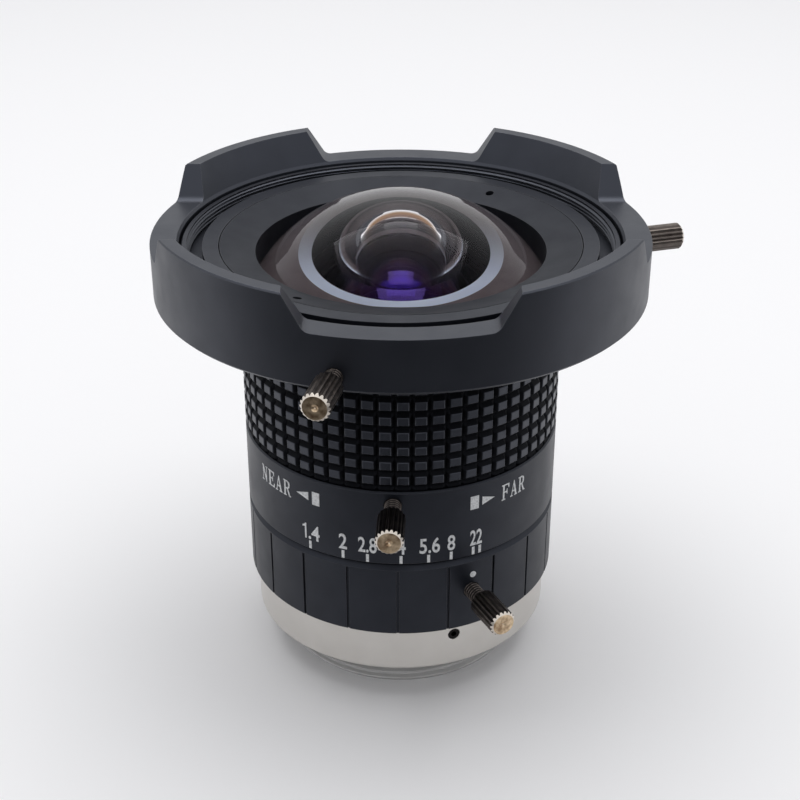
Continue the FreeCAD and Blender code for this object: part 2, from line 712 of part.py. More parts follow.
def make_inner_cell():
    """The cell behind the front element, with its three elements, spacer and rings."""
    keep(turned("inner_cell_turned", [
        ("sleeve_bore - sliding_fit", "iris_plate_top"),
        ("sleeve_bore - sliding_fit", "cell_shoulder"),
        ("cell_bore - sliding_fit", "cell_shoulder"),
        ("cell_bore - sliding_fit", "cell_face"),
        ("cell_face_bore", "cell_face"),
        ("cell_cone_bore", "second_ring_top"),
        ("second_ring_radius + fixed_fit", "second_ring_top"),
        ("second_ring_radius + fixed_fit", "second_ring_foot"),
        ("second_edge + sliding_fit", "second_ring_foot"),
        ("second_edge + sliding_fit", "second_seat"),
        ("second_cavity_opening", "second_seat"),
        ("second_cavity_opening", "third_top"),
        ("inner_glass_edge + sliding_fit", "third_top"),
        ("inner_glass_edge + sliding_fit", "iris_plate_top"),
    ]), "inner_cell")
    second = domed("second", blank("second_blank", "second_edge", "second_seat",
                                   "second_apex + blank_stock"),
                   ball("second_ball", "second_radius", "second_centre"))
    keep(cut("second_element", second,
             [ball("second_cavity", "second_cavity_radius", "second_cavity_centre")]),
         "second_element")
    keep(turned("second_ring_turned", [
        ("second_ring_radius", "second_ring_foot"),
        ("second_ring_radius", "second_ring_top"),
        ("second_ring_bore", "second_ring_top"),
        ("second_ring_bore",
         sphere_at("press_gap + second_centre", "second_radius", "second_ring_bore")),
        ("second_edge",
         sphere_at("press_gap + second_centre", "second_radius", "second_edge")),
    ]), "second_retaining_ring")
    hollow = ball("third_hollow", "third_hollow_radius",
                  "third_top - third_hollow_depth + third_hollow_radius")
    keep(cut("third_element", blank("third_blank", "inner_glass_edge", "third_foot", "third_top"),
             [hollow]), "third_element")
    keep(turned("inner_spacer_turned", [
        ("inner_glass_edge", "fourth_edge_top"),
        ("inner_glass_edge", "third_foot"),
        ("spacer_bore", "third_foot"),
        ("spacer_bore", "fourth_edge_top"),
    ]), "inner_spacer")
    front = ball("fourth_front", "fourth_front_radius",
                 "fourth_edge_top - sqrt(fourth_front_radius^2 - spacer_bore^2)")
    back = ball("fourth_back", "fourth_back_radius",
                "fourth_edge_foot + sqrt(fourth_back_radius^2 - spacer_bore^2)")
    fourth = domed("fourth_faced", blank("fourth_blank", "inner_glass_edge",
                                         "fourth_edge_foot - blank_stock",
                                         "fourth_edge_top + blank_stock"), front)
    keep(domed("fourth", fourth, back), "fourth_element")
    keep(turned("inner_ring_turned", [
        ("inner_glass_edge", "inner_ring_foot"),
        ("inner_glass_edge", "fourth_edge_foot"),
        ("spacer_bore", "fourth_edge_foot"),
        ("spacer_bore", "inner_ring_foot"),
    ]), "inner_cell_rear_ring")


def make_iris_frame():
    """The plate that the blades are pivoted in and the snap ring under the drive ring."""
    plate = turned("iris_plate_turned", [
        ("iris_opening", "iris_plate_foot"),
        ("sleeve_bore - sliding_fit", "iris_plate_foot"),
        ("sleeve_bore - sliding_fit", "iris_plate_top"),
        ("iris_opening", "iris_plate_top"),
    ])
    holes = []
    for index in range(SIZES["blade_count"]):
        drill = rod(f"pivot_hole_{index + 1}", "blade_pivot_radius + fixed_fit",
                    "iris_plate_thickness + 2 * cutter_reach")
        holes.append(stand_upright(drill, f"90 + {index} * 360 / blade_count",
                                   "blade_pivot_circle", "iris_plate_foot - cutter_reach"))
    keep(cut("iris_base_plate", plate, holes), "iris_base_plate")
    ring = turned("snap_ring_turned", [
        ("snap_ring_bore", "snap_ring_foot"),
        ("snap_ring_radius", "snap_ring_foot"),
        ("snap_ring_radius", "snap_ring_top"),
        ("snap_ring_bore", "snap_ring_top"),
    ])
    opening = window("snap_ring_gap", "snap_ring_radius + cutter_reach", "0", "snap_ring_opening",
                     "snap_ring_foot - cutter_reach", "snap_ring_top + cutter_reach")
    keep(cut("iris_snap_ring", ring, [opening]), "iris_snap_ring")


def make_blades():
    """Five curved blades, each turning on a pin in the plate and led by a pin in the drive ring."""
    for index in range(SIZES["blade_count"]):
        name = f"iris_blade_{index + 1}"
        outer = rod(name + "_outer", "blade_reach", "blade_thickness")
        inner = rod(name + "_inner", "iris_opening", "blade_thickness")
        for sector in (outer, inner):
            sector.setExpression("Placement.Base.x", refer("-blade_pivot_circle"))
        outer.setExpression("Angle", refer("blade_span"))
        crescent = cut(name + "_crescent", outer, [inner])
        root = rod(name + "_root", "blade_root_radius", "blade_thickness")
        arm = doc.addObject("Part::Box", name + "_arm")
        arm.setExpression("Length", refer("blade_arm"))
        arm.setExpression("Width", refer("2 * blade_root_radius"))
        arm.setExpression("Height", refer("blade_thickness"))
        arm_base = ("vector(blade_root_radius * sin(blade_arm_angle), "
                    "-blade_root_radius * cos(blade_arm_angle), 0)")
        arm_turn = "rotation(vector(0, 0, 1), blade_arm_angle)"
        arm.setExpression("Placement", refer(f"placement({arm_base}, {arm_turn})"))
        toe = rod(name + "_toe", "blade_root_radius", "blade_thickness")
        pin = rod(name + "_pin", "blade_pin_radius",
                  f"drive_ring_gap + {index} * blade_pitch + groove_depth - groove_clearance")
        pin_foot = f"-(drive_ring_gap + {index} * blade_pitch + groove_depth - groove_clearance)"
        for post, foot in ((toe, "0"), (pin, pin_foot)):
            at_toe = f"vector(blade_arm * cos(blade_arm_angle), blade_arm * sin(blade_arm_angle), {foot})"
            post.setExpression("Placement",
                               refer(f"placement({at_toe}, rotation(vector(0, 0, 1), 0))"))
        neck = doc.addObject("Part::Box", name + "_neck")
        neck.setExpression("Length", refer("blade_pivot_circle - iris_opening - blade_neck_start"))
        neck.setExpression("Width", refer("2 * blade_root_radius"))
        neck.setExpression("Height", refer("blade_thickness"))
        neck_base = ("vector(iris_opening + blade_neck_start - blade_pivot_circle, "
                     "-blade_root_radius, 0)")
        neck.setExpression("Placement",
                           refer(f"placement({neck_base}, rotation(vector(0, 0, 1), 0))"))
        pivot = rod(name + "_pivot", "blade_pivot_radius",
                    f"iris_plate_top - blade_foot - {index} * blade_pitch - fixed_fit")
        blade = doc.addObject("Part::MultiFuse", name + "_fused")
        blade.Shapes = [crescent, root, arm, toe, neck, pin, pivot]
        place = f"({index} * 360 / blade_count)"
        base = (f"vector(blade_pivot_circle * cos{place}, blade_pivot_circle * sin{place}, "
                f"blade_foot + {index} * blade_pitch)")
        turn = f"rotation(vector(0, 0, 1), {place} + blade_rest)"
        blade.setExpression("Placement", refer(f"placement({base}, {turn})"))
        keep(blade, name)


def blade_groove(index):
    """The groove of one blade in the drive ring: the path of the blade's pin, seen from the ring."""
    ratio = value("blade_stroke / ring_stroke")
    half_width = value("blade_pin_radius + groove_clearance")
    circle, arm = value("blade_pivot_circle"), value("blade_arm")
    place = math.radians(index * 360 / value("blade_count"))

    def path(angle):
        swing = math.radians(value("blade_arm_angle") + angle)
        across = circle + arm * math.cos(swing)
        along = arm * math.sin(swing)
        turn = place - math.radians((angle - value("blade_rest")) / ratio)
        return Vector(across * math.cos(turn) - along * math.sin(turn),
                      across * math.sin(turn) + along * math.cos(turn), 0)

    count = 12
    nudge = 0.1
    angles = [value("blade_stroke") * step / count for step in range(count + 1)]
    centre = [path(angle) for angle in angles]
    ahead = [(path(angle + nudge) - path(angle - nudge)).normalize() for angle in angles]
    left = [point + Vector(-way.y, way.x, 0) * half_width for point, way in zip(centre, ahead)]
    right = [point - Vector(-way.y, way.x, 0) * half_width for point, way in zip(centre, ahead)]
    sides = []
    for side in (left, right[::-1]):
        curve = Part.BSplineCurve()
        curve.interpolate(side)
        sides.append(curve.toShape())
    far_end = Part.Arc(left[-1], centre[-1] + ahead[-1] * half_width, right[-1]).toShape()
    near_end = Part.Arc(right[0], centre[0] - ahead[0] * half_width, left[0]).toShape()
    outline = Part.Wire([sides[0], far_end, sides[1], near_end])
    tool = doc.addObject("Part::Feature", f"blade_groove_{index + 1}")
    tool.Shape = Part.Face(outline).extrude(Vector(0, 0, value("groove_depth + cutter_reach")))
    tool.Placement.Base = Vector(0, 0, value("drive_ring_top - groove_depth"))
    return tool


def make_iris_drive():
    """The grooved ring that moves the blades, notched for the pin of the iris ring."""
    body = turned("iris_drive_turned", [
        ("drive_ring_bore", "drive_ring_foot"),
        ("drive_rim_bore", "drive_ring_foot"),
        ("drive_rim_bore", "drive_rim_foot"),
        ("sleeve_bore - sliding_fit", "drive_rim_foot"),
        ("sleeve_bore - sliding_fit", "drive_rim_foot + drive_rim_height"),
        ("drive_rim_bore", "drive_rim_foot + drive_rim_height"),
        ("drive_rim_bore", "drive_ring_top"),
        ("drive_ring_bore", "drive_ring_top"),
    ])
    notch = doc.addObject("Part::Box", "drive_notch")
    half_width = "(drive_pin_radius + drive_pin_fit)"
    notch.setExpression("Length", refer(f"2 * {half_width}"))
    notch.setExpression("Width", refer("drive_pin_hold + cutter_reach"))
    notch.setExpression("Height", refer("drive_rim_height + 2 * cutter_reach"))
    inner = "(drive_pin_reach - turning_fit)"
    base = (f"vector({inner} * sin(drive_pin_azimuth) + {half_width} * cos(drive_pin_azimuth), "
            f"{half_width} * sin(drive_pin_azimuth) - {inner} * cos(drive_pin_azimuth), "
            "drive_rim_foot - cutter_reach)")
    turn = "rotation(vector(0, 0, 1), drive_pin_azimuth - 180)"
    notch.setExpression("Placement", refer(f"placement({base}, {turn})"))
    grooves = [blade_groove(index) for index in range(SIZES["blade_count"])]
    keep(cut("iris_drive", body, [notch, *grooves]), "iris_drive_ring")


def make_rear_group():
    """The rear cell with its cemented doublet, rear element and the two rings that hold them."""
    bore = "doublet_edge + sliding_fit"
    keep(turned("rear_cell_turned", [
        ("rear_edge + sliding_fit", "rear_end"),
        ("rear_neck_radius", "rear_end"),
        ("rear_neck_radius", "rear_flange_foot"),
        ("sleeve_bore - sliding_fit", "rear_flange_foot"),
        ("sleeve_bore - sliding_fit", "rear_flange_foot + rear_flange_height"),
        (bore, "rear_flange_foot + rear_flange_height"),
        (bore, "doublet_seat"),
        ("rear_web_bore", "doublet_seat"),
        ("rear_web_bore", "doublet_seat - rear_web"),
        ("rear_edge + sliding_fit", "doublet_seat - rear_web"),
    ]), "rear_cell")
    joint = "doublet_seat + doublet_joint_height"
    back = domed("doublet_back", blank("doublet_back_blank", "doublet_edge",
                                       "doublet_seat", f"{joint} + blank_stock"),
                 ball("doublet_joint", "doublet_joint_radius",
                      f"{joint} - sqrt(doublet_joint_radius^2 - doublet_edge^2)"))
    keep(back, "doublet_rear")
    top = "doublet_seat + doublet_height"
    front = blank("doublet_front_blank", "doublet_edge", joint, top)
    keep(cut("doublet_front", front,
             [ball("doublet_joint_hollow", "doublet_joint_radius",
                   f"{joint} - sqrt(doublet_joint_radius^2 - doublet_edge^2)")]), "doublet_front")
    keep(turned("doublet_ring_turned", [
        ("doublet_edge", top),
        ("doublet_edge", f"{top} + doublet_ring_height"),
        ("doublet_edge - glass_ring_wall", f"{top} + doublet_ring_height"),
        ("doublet_edge - glass_ring_wall", top),
    ]), "doublet_retaining_ring")
    rear_top = "doublet_seat - rear_web"
    rear = domed("rear_faced", blank("rear_blank", "rear_edge", f"{rear_top} - rear_height", rear_top),
                 ball("rear_back", "rear_back_radius",
                      f"{rear_top} - rear_height + rear_back_radius"))
    keep(rear, "rear_element")
    keep(turned("rear_ring_turned", [
        ("rear_edge", "rear_end"),
        ("rear_edge", "rear_end + rear_ring_height"),
        ("rear_edge - glass_ring_wall", "rear_end + rear_ring_height"),
        ("rear_edge - glass_ring_wall", "rear_end"),
    ]), "rear_retaining_ring")


def petal_gap(name, turn):
    """A sloped channel right across the hood, with rounded feet, that leaves the petals standing."""
    slope = "(petal_gap_top - petal_gap_foot) / petal_height * (petal_height + cutter_reach)"
    wide = f"(petal_gap_foot + {slope})"
    body = doc.addObject("PartDesign::Body", name)
    sketch = sketch_on(body, name + "_section", "XZ_Plane", [
        ("-petal_gap_foot", "hood_floor"),
        ("petal_gap_foot", "hood_floor"),
        (wide, "hood_top + cutter_reach"),
        (f"-{wide}", "hood_top + cutter_reach"),
    ])
    pad = body.newObject("PartDesign::Pad", name + "_pad")
    pad.Profile = sketch
    pad.Midplane = True
    pad.setExpression("Length", refer("2 * (hood_radius + cutter_reach)"))
    doc.recompute()
    floor = value("hood_floor")
    feet = [f"Edge{number}" for number, edge in enumerate(pad.Shape.Edges, start=1)
            if all(abs(vertex.Z - floor) < TOLERANCE for vertex in edge.Vertexes)
            and abs(edge.Vertexes[0].X - edge.Vertexes[1].X) < TOLERANCE]
    fillet = body.newObject("PartDesign::Fillet", name + "_feet")
    fillet.Base = (pad, feet)
    fillet.setExpression("Radius", refer("petal_fillet"))
    body.Tip = fillet
    body.Placement.Rotation = FreeCAD.Rotation(Vector(0, 0, 1), turn)
    doc.recompute()
    return body


def make_hood():
    """The hood: a thick ring with four petals round the mouth and three thumb screw holes."""
    body = turned("hood_turned", [
        ("hood_bore", "hood_foot"),
        ("hood_radius - hood_chamfer", "hood_foot"),
        ("hood_radius", "hood_foot + hood_chamfer"),
        ("hood_radius", "hood_top - edge_break"),
        ("hood_radius - edge_break", "hood_top"),
        ("hood_mouth_bore", "hood_top"),
        ("hood_floor_bore", "hood_floor"),
        ("hood_bore", "hood_floor - hood_chamfer"),
    ])
    gaps = [petal_gap("petal_gap_front", 0), petal_gap("petal_gap_side", 90)]
    holes = [radial_hole(f"hood_screw_hole_{index}", "stud_hole",
                         f"hood_screw_azimuth + {120 * (index - 1)}", "clamp_height")
             for index in (1, 2, 3)]
    keep(cut("hood", body, gaps + holes), "hood")


def make_iris_ring():
    """The iris ring: fine upright grip lines, a hole for its lock screw and one for its drive pin."""
    body = turned("iris_ring_turned", [
        ("tube_radius + turning_fit", "iris_ring_foot"),
        ("barrel_radius - edge_break", "iris_ring_foot"),
        ("barrel_radius", "iris_ring_foot + edge_break"),
        ("barrel_radius", "iris_ring_top - iris_ring_chamfer"),
        ("barrel_radius - iris_ring_chamfer", "iris_ring_top"),
        ("tube_radius + turning_fit", "iris_ring_top"),
    ])
    middle = "barrel_radius * sin(grip_line_azimuth)"
    near, far = "(grip_line_depth - barrel_radius)", "(-barrel_radius - cutter_reach)"
    cut_around(body, "grip_line", [
        (f"{middle} - grip_line_width / 2", near),
        (f"{middle} + grip_line_width / 2", near),
        (f"{middle} + grip_line_width / 2", far),
        (f"{middle} - grip_line_width / 2", far),
    ], "iris_ring_foot - cutter_reach",
        "cutter_reach + iris_ring_height - iris_ring_chamfer - grip_line_stop", "grip_line_count")
    holes = [
        radial_hole("iris_lock_hole", "stud_hole", "iris_lock_azimuth", "iris_lock_middle"),
        radial_hole("drive_pin_hole", "drive_pin_radius + drive_pin_fit", "drive_pin_azimuth",
                    "drive_rim_middle"),
    ]
    keep(cut("iris_ring", body, holes), "iris_ring")
    pin = rod("drive_pin", "drive_pin_radius",
              "barrel_radius - grip_line_depth - drive_pin_reach")
    keep(stand_radially(pin, "drive_pin_azimuth", "drive_rim_middle", "drive_pin_reach"),
         "iris_drive_pin")


def make_thumb_screw(stud_label, knob_label, azimuth, height, tip, knob_foot):
    """A thumb screw: a threaded stud and a fluted knob, laid on a radius of the lens."""
    length = f"(({knob_foot}) - ({tip}) + stud_in_knob)"
    stud = turned(stud_label + "_turned", [
        ("0", "0"),
        ("stud_tip_radius", "0"),
        ("stud_tip_radius", "stud_tip_length"),
        ("stud_radius", "stud_tip_length"),
        ("stud_radius", length),
        ("0", length),
    ])
    keep(stand_radially(stud, azimuth, height, tip), stud_label)
    knob = turned(knob_label + "_turned", [
        ("0", "knob_bore_depth"),
        ("stud_hole", "knob_bore_depth"),
        ("stud_hole", "0"),
        ("knob_radius - knob_chamfer", "0"),
        ("knob_radius", "knob_chamfer"),
        ("knob_radius", "knob_length - knob_chamfer"),
        ("knob_radius - knob_chamfer", "knob_length"),
        ("knob_dimple", "knob_length"),
        ("0", "knob_length - knob_dimple / 2"),
    ])
    flute = vee_groove("0", "flute_depth - knob_radius", "flute_width", "flute_depth")
    cut_around(knob, knob_label + "_flute", flute, "-cutter_reach",
               "knob_length + 2 * cutter_reach", "knob_flutes")
    keep(stand_radially(knob, azimuth, height, knob_foot), knob_label)


def make_thumb_screws():
    """Three thumb screws clamp the hood, one locks the focus ring and one the iris ring."""
    for index in (1, 2, 3):
        make_thumb_screw(f"hood_screw_stud_{index}", f"hood_screw_knob_{index}",
                         f"(hood_screw_azimuth + {120 * (index - 1)})", "clamp_height",
                         "screw_groove_radius + press_gap", "hood_radius + hood_knob_standoff")
    make_thumb_screw("focus_lock_stud", "focus_lock_knob", "focus_lock_azimuth",
                     "focus_lock_height", "skirt_radius + press_gap",
                     "barrel_radius + lock_knob_standoff")
    make_thumb_screw("iris_lock_stud", "iris_lock_knob", "iris_lock_azimuth",
                     "iris_lock_middle", "tube_radius + press_gap",
                     "barrel_radius + lock_knob_standoff")


def write_pieces():
    """Check that every object came out sound and write one file for each piece."""
    doc.recompute()
    failed = [thing.Name for thing in doc.Objects
              if "Invalid" in thing.State or "Error" in thing.State]
    assert not failed, f"objects that failed: {failed}"
    unsound = [piece.Label for piece in pieces if piece.Shape.isNull() or not piece.Shape.isValid()]
    assert not unsound, f"pieces that are not sound: {unsound}"
    os.makedirs("parts", exist_ok=True)
    for piece in pieces:
        piece.Shape.exportStep(f"parts/{piece.Label}.step")
        print(piece.Label, len(piece.Shape.Solids), round(piece.Shape.Volume, 3))


write_sheets()
make_mount()
make_main_barrel()
make_focus_ring()
make_front_barrel()
make_front_glass()
make_inner_cell()
make_iris_frame()
make_rear_group()
make_hood()
make_iris_ring()
make_iris_drive()
make_blades()
make_thumb_screws()
write_pieces()
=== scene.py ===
import math

import bmesh
import bpy
import numpy as np
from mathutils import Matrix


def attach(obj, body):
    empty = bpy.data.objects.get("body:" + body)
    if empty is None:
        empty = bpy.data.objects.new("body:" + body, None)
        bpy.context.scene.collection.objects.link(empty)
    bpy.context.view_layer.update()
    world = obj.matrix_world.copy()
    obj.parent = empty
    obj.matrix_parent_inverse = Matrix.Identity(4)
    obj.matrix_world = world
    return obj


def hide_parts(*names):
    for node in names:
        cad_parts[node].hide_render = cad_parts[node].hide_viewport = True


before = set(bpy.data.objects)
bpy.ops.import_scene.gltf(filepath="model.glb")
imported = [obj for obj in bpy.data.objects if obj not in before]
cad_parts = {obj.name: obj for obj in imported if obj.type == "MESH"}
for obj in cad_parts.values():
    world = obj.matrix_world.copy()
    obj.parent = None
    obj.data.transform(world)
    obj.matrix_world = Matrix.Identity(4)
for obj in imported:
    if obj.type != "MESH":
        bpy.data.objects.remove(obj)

for leftover in ("Cube", "Light", "Camera"):
    if leftover in bpy.data.objects:
        bpy.data.objects.remove(bpy.data.objects[leftover])
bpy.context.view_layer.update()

# The camera stands in front of the lens and 28 degrees above it, as close as a telephone is held.
# Its place and its lens come from the ellipses that the rings of the object make in the photograph.
camera_place = (-0.0001, -0.143337, 0.10037)
camera_above = 28.197
camera = bpy.data.objects.new("photo_camera", bpy.data.cameras.new("photo_camera"))
camera.location = camera_place
camera.rotation_euler = (math.radians(90 - camera_above), 0, 0)
camera.data.sensor_width = 36
camera.data.lens = 68.83
camera.data.clip_start = 0.01
bpy.context.scene.collection.objects.link(camera)
bpy.context.scene.camera = camera
bpy.context.scene.view_settings.view_transform = "Standard"


# A wide white table that the lens stands on with the end of its thread. Far off it fades into the
# pale room. The camera sees it white all over, but its front is painted dark in what the lens mirrors
# and in the light that it sends back: painted shade, as where the person with the camera stands.
table_height = -4.02
table_reach = 1500
table_points = 5
front_shade_start, front_shade_end = -0.026, -0.075
fade_start, fade_end = 0.33, 0.9
table_colour = (0.925, 0.92, 0.93, 1)
# painted shade: the dark colour that the table's front shows in reflections and in the light it sends
# back
table_front_painted_shade = (0.06, 0.06, 0.065, 1)
room_colour = (0.97, 0.98, 1.0, 1)
room_seen = 0.92


def grid_faces(rows, columns, closed_rows=False, closed_columns=False):
    """Four corners for each cell of a grid of points, on past the last row or column where closed."""
    row, column = np.meshgrid(
        np.arange(rows if closed_rows else rows - 1),
        np.arange(columns if closed_columns else columns - 1), indexing="ij")
    row, column = row.ravel(), column.ravel()
    after, beside = (row + 1) % rows, (column + 1) % columns
    return np.stack([row * columns + column, row * columns + beside,
                     after * columns + beside, after * columns + column], axis=1)


def make_piece(name, points, faces, crease=35):
    """An object from points in millimetres, smooth where faces meet at less than the crease angle."""
    mesh = bpy.data.meshes.new(name)
    mesh.from_pydata((np.asarray(points).reshape(-1, 3) * 0.001).tolist(), [], faces.tolist())
    work = bmesh.new()
    work.from_mesh(mesh)
    bmesh.ops.remove_doubles(work, verts=work.verts, dist=1e-7)
    bmesh.ops.recalc_face_normals(work, faces=work.faces)
    work.to_mesh(mesh)
    work.free()
    mesh.shade_smooth()
    mesh.set_sharp_from_angle(angle=math.radians(crease))
    piece = bpy.data.objects.new(name, mesh)
    bpy.context.scene.collection.objects.link(piece)
    return piece


def put(material, kind, feeds, **settings):
    """Add a node. A feed is a plain value, or a node and the name of its output."""
    tree = material.node_tree
    added = tree.nodes.new("ShaderNode" + kind)
    for key, setting in settings.items():
        setattr(added, key, setting)
    for key, feed in feeds.items():
        if isinstance(feed, tuple) and isinstance(feed[0], bpy.types.Node):
            tree.links.new(feed[0].outputs[feed[1]], added.inputs[key])
        else:
            added.inputs[key].default_value = feed
    return added


def new_material(name, **constants):
    """A material whose main shader takes the given constants, with spaces for underlines."""
    material = bpy.data.materials.new(name)
    material.use_nodes = True
    shader = material.node_tree.nodes["Principled BSDF"]
    for key, constant in constants.items():
        shader.inputs[key.replace("_", " ")].default_value = constant
    return material, shader


def feed_shader(material, shader, **feeds):
    """Link outputs of nodes to inputs of the main shader, with spaces for underlines."""
    for key, (source, output) in feeds.items():
        material.node_tree.links.new(source.outputs[output], shader.inputs[key.replace("_", " ")])


across = np.linspace(-table_reach, table_reach, table_points)
table_x, table_y = np.meshgrid(across, across)
table_z = np.full(table_x.shape, table_height)
table = make_piece("white_table", np.stack([table_x, table_y, table_z], axis=-1),
                   grid_faces(table_points, table_points))
table_white, table_shader = new_material("white_table", Roughness=0.6, Specular_IOR_Level=0.2)
place = put(table_white, "TexCoord", {})
parts = put(table_white, "SeparateXYZ", {"Vector": (place, "Object")})
towards_front = put(table_white, "MapRange", {
    "Value": (parts, "Y"), "From Min": front_shade_start, "From Max": front_shade_end},
    interpolation_type="SMOOTHSTEP")
table_path = put(table_white, "LightPath", {})
not_seen = put(table_white, "Math", {0: 1.0, 1: (table_path, "Is Camera Ray")}, operation="SUBTRACT")
front_shade = put(table_white, "Math", {0: (towards_front, "Result"), 1: (not_seen, "Value")},
                  operation="MULTIPLY")
table_mix = put(table_white, "Mix", {"Factor": (front_shade, "Value"), 6: table_colour,
                                     7: table_front_painted_shade}, data_type="RGBA")
table_fibre = put(table_white, "TexNoise", {"Vector": (place, "Object"), "Scale": 900.0})
table_bump = put(table_white, "Bump", {"Height": (table_fibre, "Fac"), "Strength": 0.1,
                                       "Distance": 0.0001})
feed_shader(table_white, table_shader, Base_Color=(table_mix, 2), Normal=(table_bump, "Normal"))
far_off = put(table_white, "VectorMath", {0: (place, "Object")}, operation="LENGTH")
fade = put(table_white, "MapRange", {"Value": (far_off, "Value"), "From Min": fade_start,
                                     "From Max": fade_end}, interpolation_type="SMOOTHSTEP")
seen_or_mirrored = put(table_white, "Math", {0: (table_path, "Is Camera Ray"),
                                             1: (table_path, "Is Glossy Ray")}, operation="MAXIMUM")
fade_seen = put(table_white, "Math", {0: (fade, "Result"), 1: (seen_or_mirrored, "Value")},
                operation="MULTIPLY")
far_colour = put(table_white, "Mix", {"Factor": (front_shade, "Value"), 6: room_colour,
                                      7: table_front_painted_shade}, data_type="RGBA")
far_glow = put(table_white, "Emission", {"Color": (far_colour, 2), "Strength": room_seen})
table_surface = put(table_white, "MixShader", {0: (fade_seen, "Value"), 1: (table_shader, "BSDF"),
                                               2: (far_glow, "Emission")})
table_white.node_tree.links.new(table_surface.outputs["Shader"],
                                table_white.node_tree.nodes["Material Output"].inputs["Surface"])
table.data.materials.append(table_white)


# One wide soft lamp hangs above and a little behind. The room round it is pale and plain, and shows
# brighter than the light that it gives. What the glass refracts of it has a tone of its own: pale
# low down, a warm wall over that, and a dark ceiling.
room_light_strength = 0.5
warm_wall_colour = (0.34, 0.20, 0.11, 1)
ceiling_colour = (0.16, 0.13, 0.15, 1)
room_heights = {"pale": 0.02, "warm_wall": 0.26, "ceiling": 0.8}
lamp_data = bpy.data.lights.new("soft_light", "AREA")
lamp_data.shape = "RECTANGLE"
lamp_data.size = 0.7
lamp_data.size_y = 0.5
lamp_data.energy = 2.4
lamp = bpy.data.objects.new("soft_light", lamp_data)
lamp.location = (0, 0.08, 0.55)
lamp.rotation_euler = (math.radians(-8), 0, 0)
bpy.context.scene.collection.objects.link(lamp)

room = bpy.data.worlds.new("pale_room")
room.use_nodes = True
bpy.context.scene.world = room
room_light = room.node_tree.nodes["Background"]
room_path = put(room, "LightPath", {})
room_way = put(room, "SeparateXYZ", {"Vector": (put(room, "TexCoord", {}), "Generated")})
room_above = put(room, "ValToRGB", {"Fac": (room_way, "Z")})
room_above.color_ramp.elements[0].position = room_heights["pale"]
room_above.color_ramp.elements[0].color = room_colour
room_above.color_ramp.elements[1].position = room_heights["ceiling"]
room_above.color_ramp.elements[1].color = ceiling_colour
warm_wall = room_above.color_ramp.elements.new(room_heights["warm_wall"])
warm_wall.color = warm_wall_colour
room_tone = put(room, "Mix", {"Factor": (room_path, "Is Transmission Ray"), 6: room_colour,
                              7: (room_above, "Color")}, data_type="RGBA")
seen_or_mirrored = put(room, "Math", {0: (room_path, "Is Camera Ray"), 1: (room_path, "Is Glossy Ray")},
                       operation="MAXIMUM")
seen_at_all = put(room, "Math", {0: (seen_or_mirrored, "Value"), 1: (room_path, "Is Transmission Ray")},
                  operation="MAXIMUM")
room_strength = put(room, "MapRange", {"Value": (seen_at_all, "Value"),
                                       "To Min": room_light_strength, "To Max": room_seen})
feed_room = room.node_tree.links.new
feed_room(room_tone.outputs[2], room_light.inputs["Color"])
feed_room(room_strength.outputs["Result"], room_light.inputs["Strength"])


# The foot is bright nickel plated metal, turned in one piece with the C mount thread under it.
# Three small set screws in its skirt hold the fixed barrel. Its thread is 25.4 mm across with a
# pitch of 0.794 mm, worked into a copy of the foot in place of the plain cylinder.
thread_radius = 12.7
thread_pitch = 0.794
thread_cut = 0.43
thread_low, thread_high = -3.7, -0.5
thread_rows = 65
thread_run_out = 0.3
facet_slack, corner_slack = 0.03, 0.001
nickel_dark, nickel_light = (0.60, 0.575, 0.54), (0.72, 0.695, 0.66)
# painted shade: the thread under the foot is painted a darker grey than the nickel above it, for the
# shade it stands in under the foot
nickel_thread_painted_shade = (0.50, 0.495, 0.49, 1)


def dress(material, *nodes):
    """Give CAD nodes, or pieces, one material."""
    for node in nodes:
        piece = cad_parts[node] if isinstance(node, str) else node
        if not piece.material_slots:
            piece.data.materials.append(material)
        for slot in piece.material_slots:
            slot.material = material


def tones(material, source, dark, light, low=0.0, high=1.0):
    """A ramp from a dark to a light tone, as the source's output goes from low to high."""
    ramp = put(material, "ValToRGB", {"Fac": source})
    first, last = ramp.color_ramp.elements
    first.position = low
    first.color = (*dark, 1)
    last.position = high
    last.color = (*light, 1)
    return ramp


def merged_copy(node):
    """A mesh to work on, copied from a CAD node, with its loose triangles joined."""
    work = bmesh.new()
    work.from_mesh(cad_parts[node].data)
    bmesh.ops.remove_doubles(work, verts=work.verts, dist=2e-7)
    return work


def thread_depth(along, turn, pitch, cut):
    """Depth below the crest: the cut times how far (along / pitch - turn) is from a whole number,
    as a triangle wave with its crest and root cut flat."""
    phase = np.abs((along / pitch - turn) % 1 - 0.5) * 2
    return cut * np.clip(phase * 1.5 - 0.25, 0, 1)


nickel, nickel_shader = new_material("bright_nickel", Metallic=1.0, Specular_IOR_Level=0.5)
place = put(nickel, "TexCoord", {})
turned_marks = put(nickel, "Mapping", {"Vector": (place, "Object"), "Scale": (60, 60, 9000)})
marks = put(nickel, "TexNoise", {"Vector": (turned_marks, "Vector"), "Scale": 1.0, "Detail": 3.0})
cloud = put(nickel, "TexNoise", {"Vector": (place, "Object"), "Scale": 260.0, "Detail": 4.0})
nickel_gloss = put(nickel, "MapRange", {"Value": (cloud, "Fac"), "To Min": 0.24, "To Max": 0.4})
nickel_tone = tones(nickel, (cloud, "Fac"), nickel_dark, nickel_light)
soft_edge = put(nickel, "Bevel", {"Radius": 0.00012}, samples=4)
nickel_bump = put(nickel, "Bump", {"Height": (marks, "Fac"), "Normal": (soft_edge, "Normal"),
                                   "Strength": 0.12, "Distance": 0.00002})
nickel_parts = put(nickel, "SeparateXYZ", {"Vector": (place, "Object")})
# painted shade below the foot: the colour turns to the thread's darker grey, and the roughness rises
on_thread = put(nickel, "MapRange", {"Value": (nickel_parts, "Z"), "From Min": 0.00005,
                                     "From Max": -0.0004})
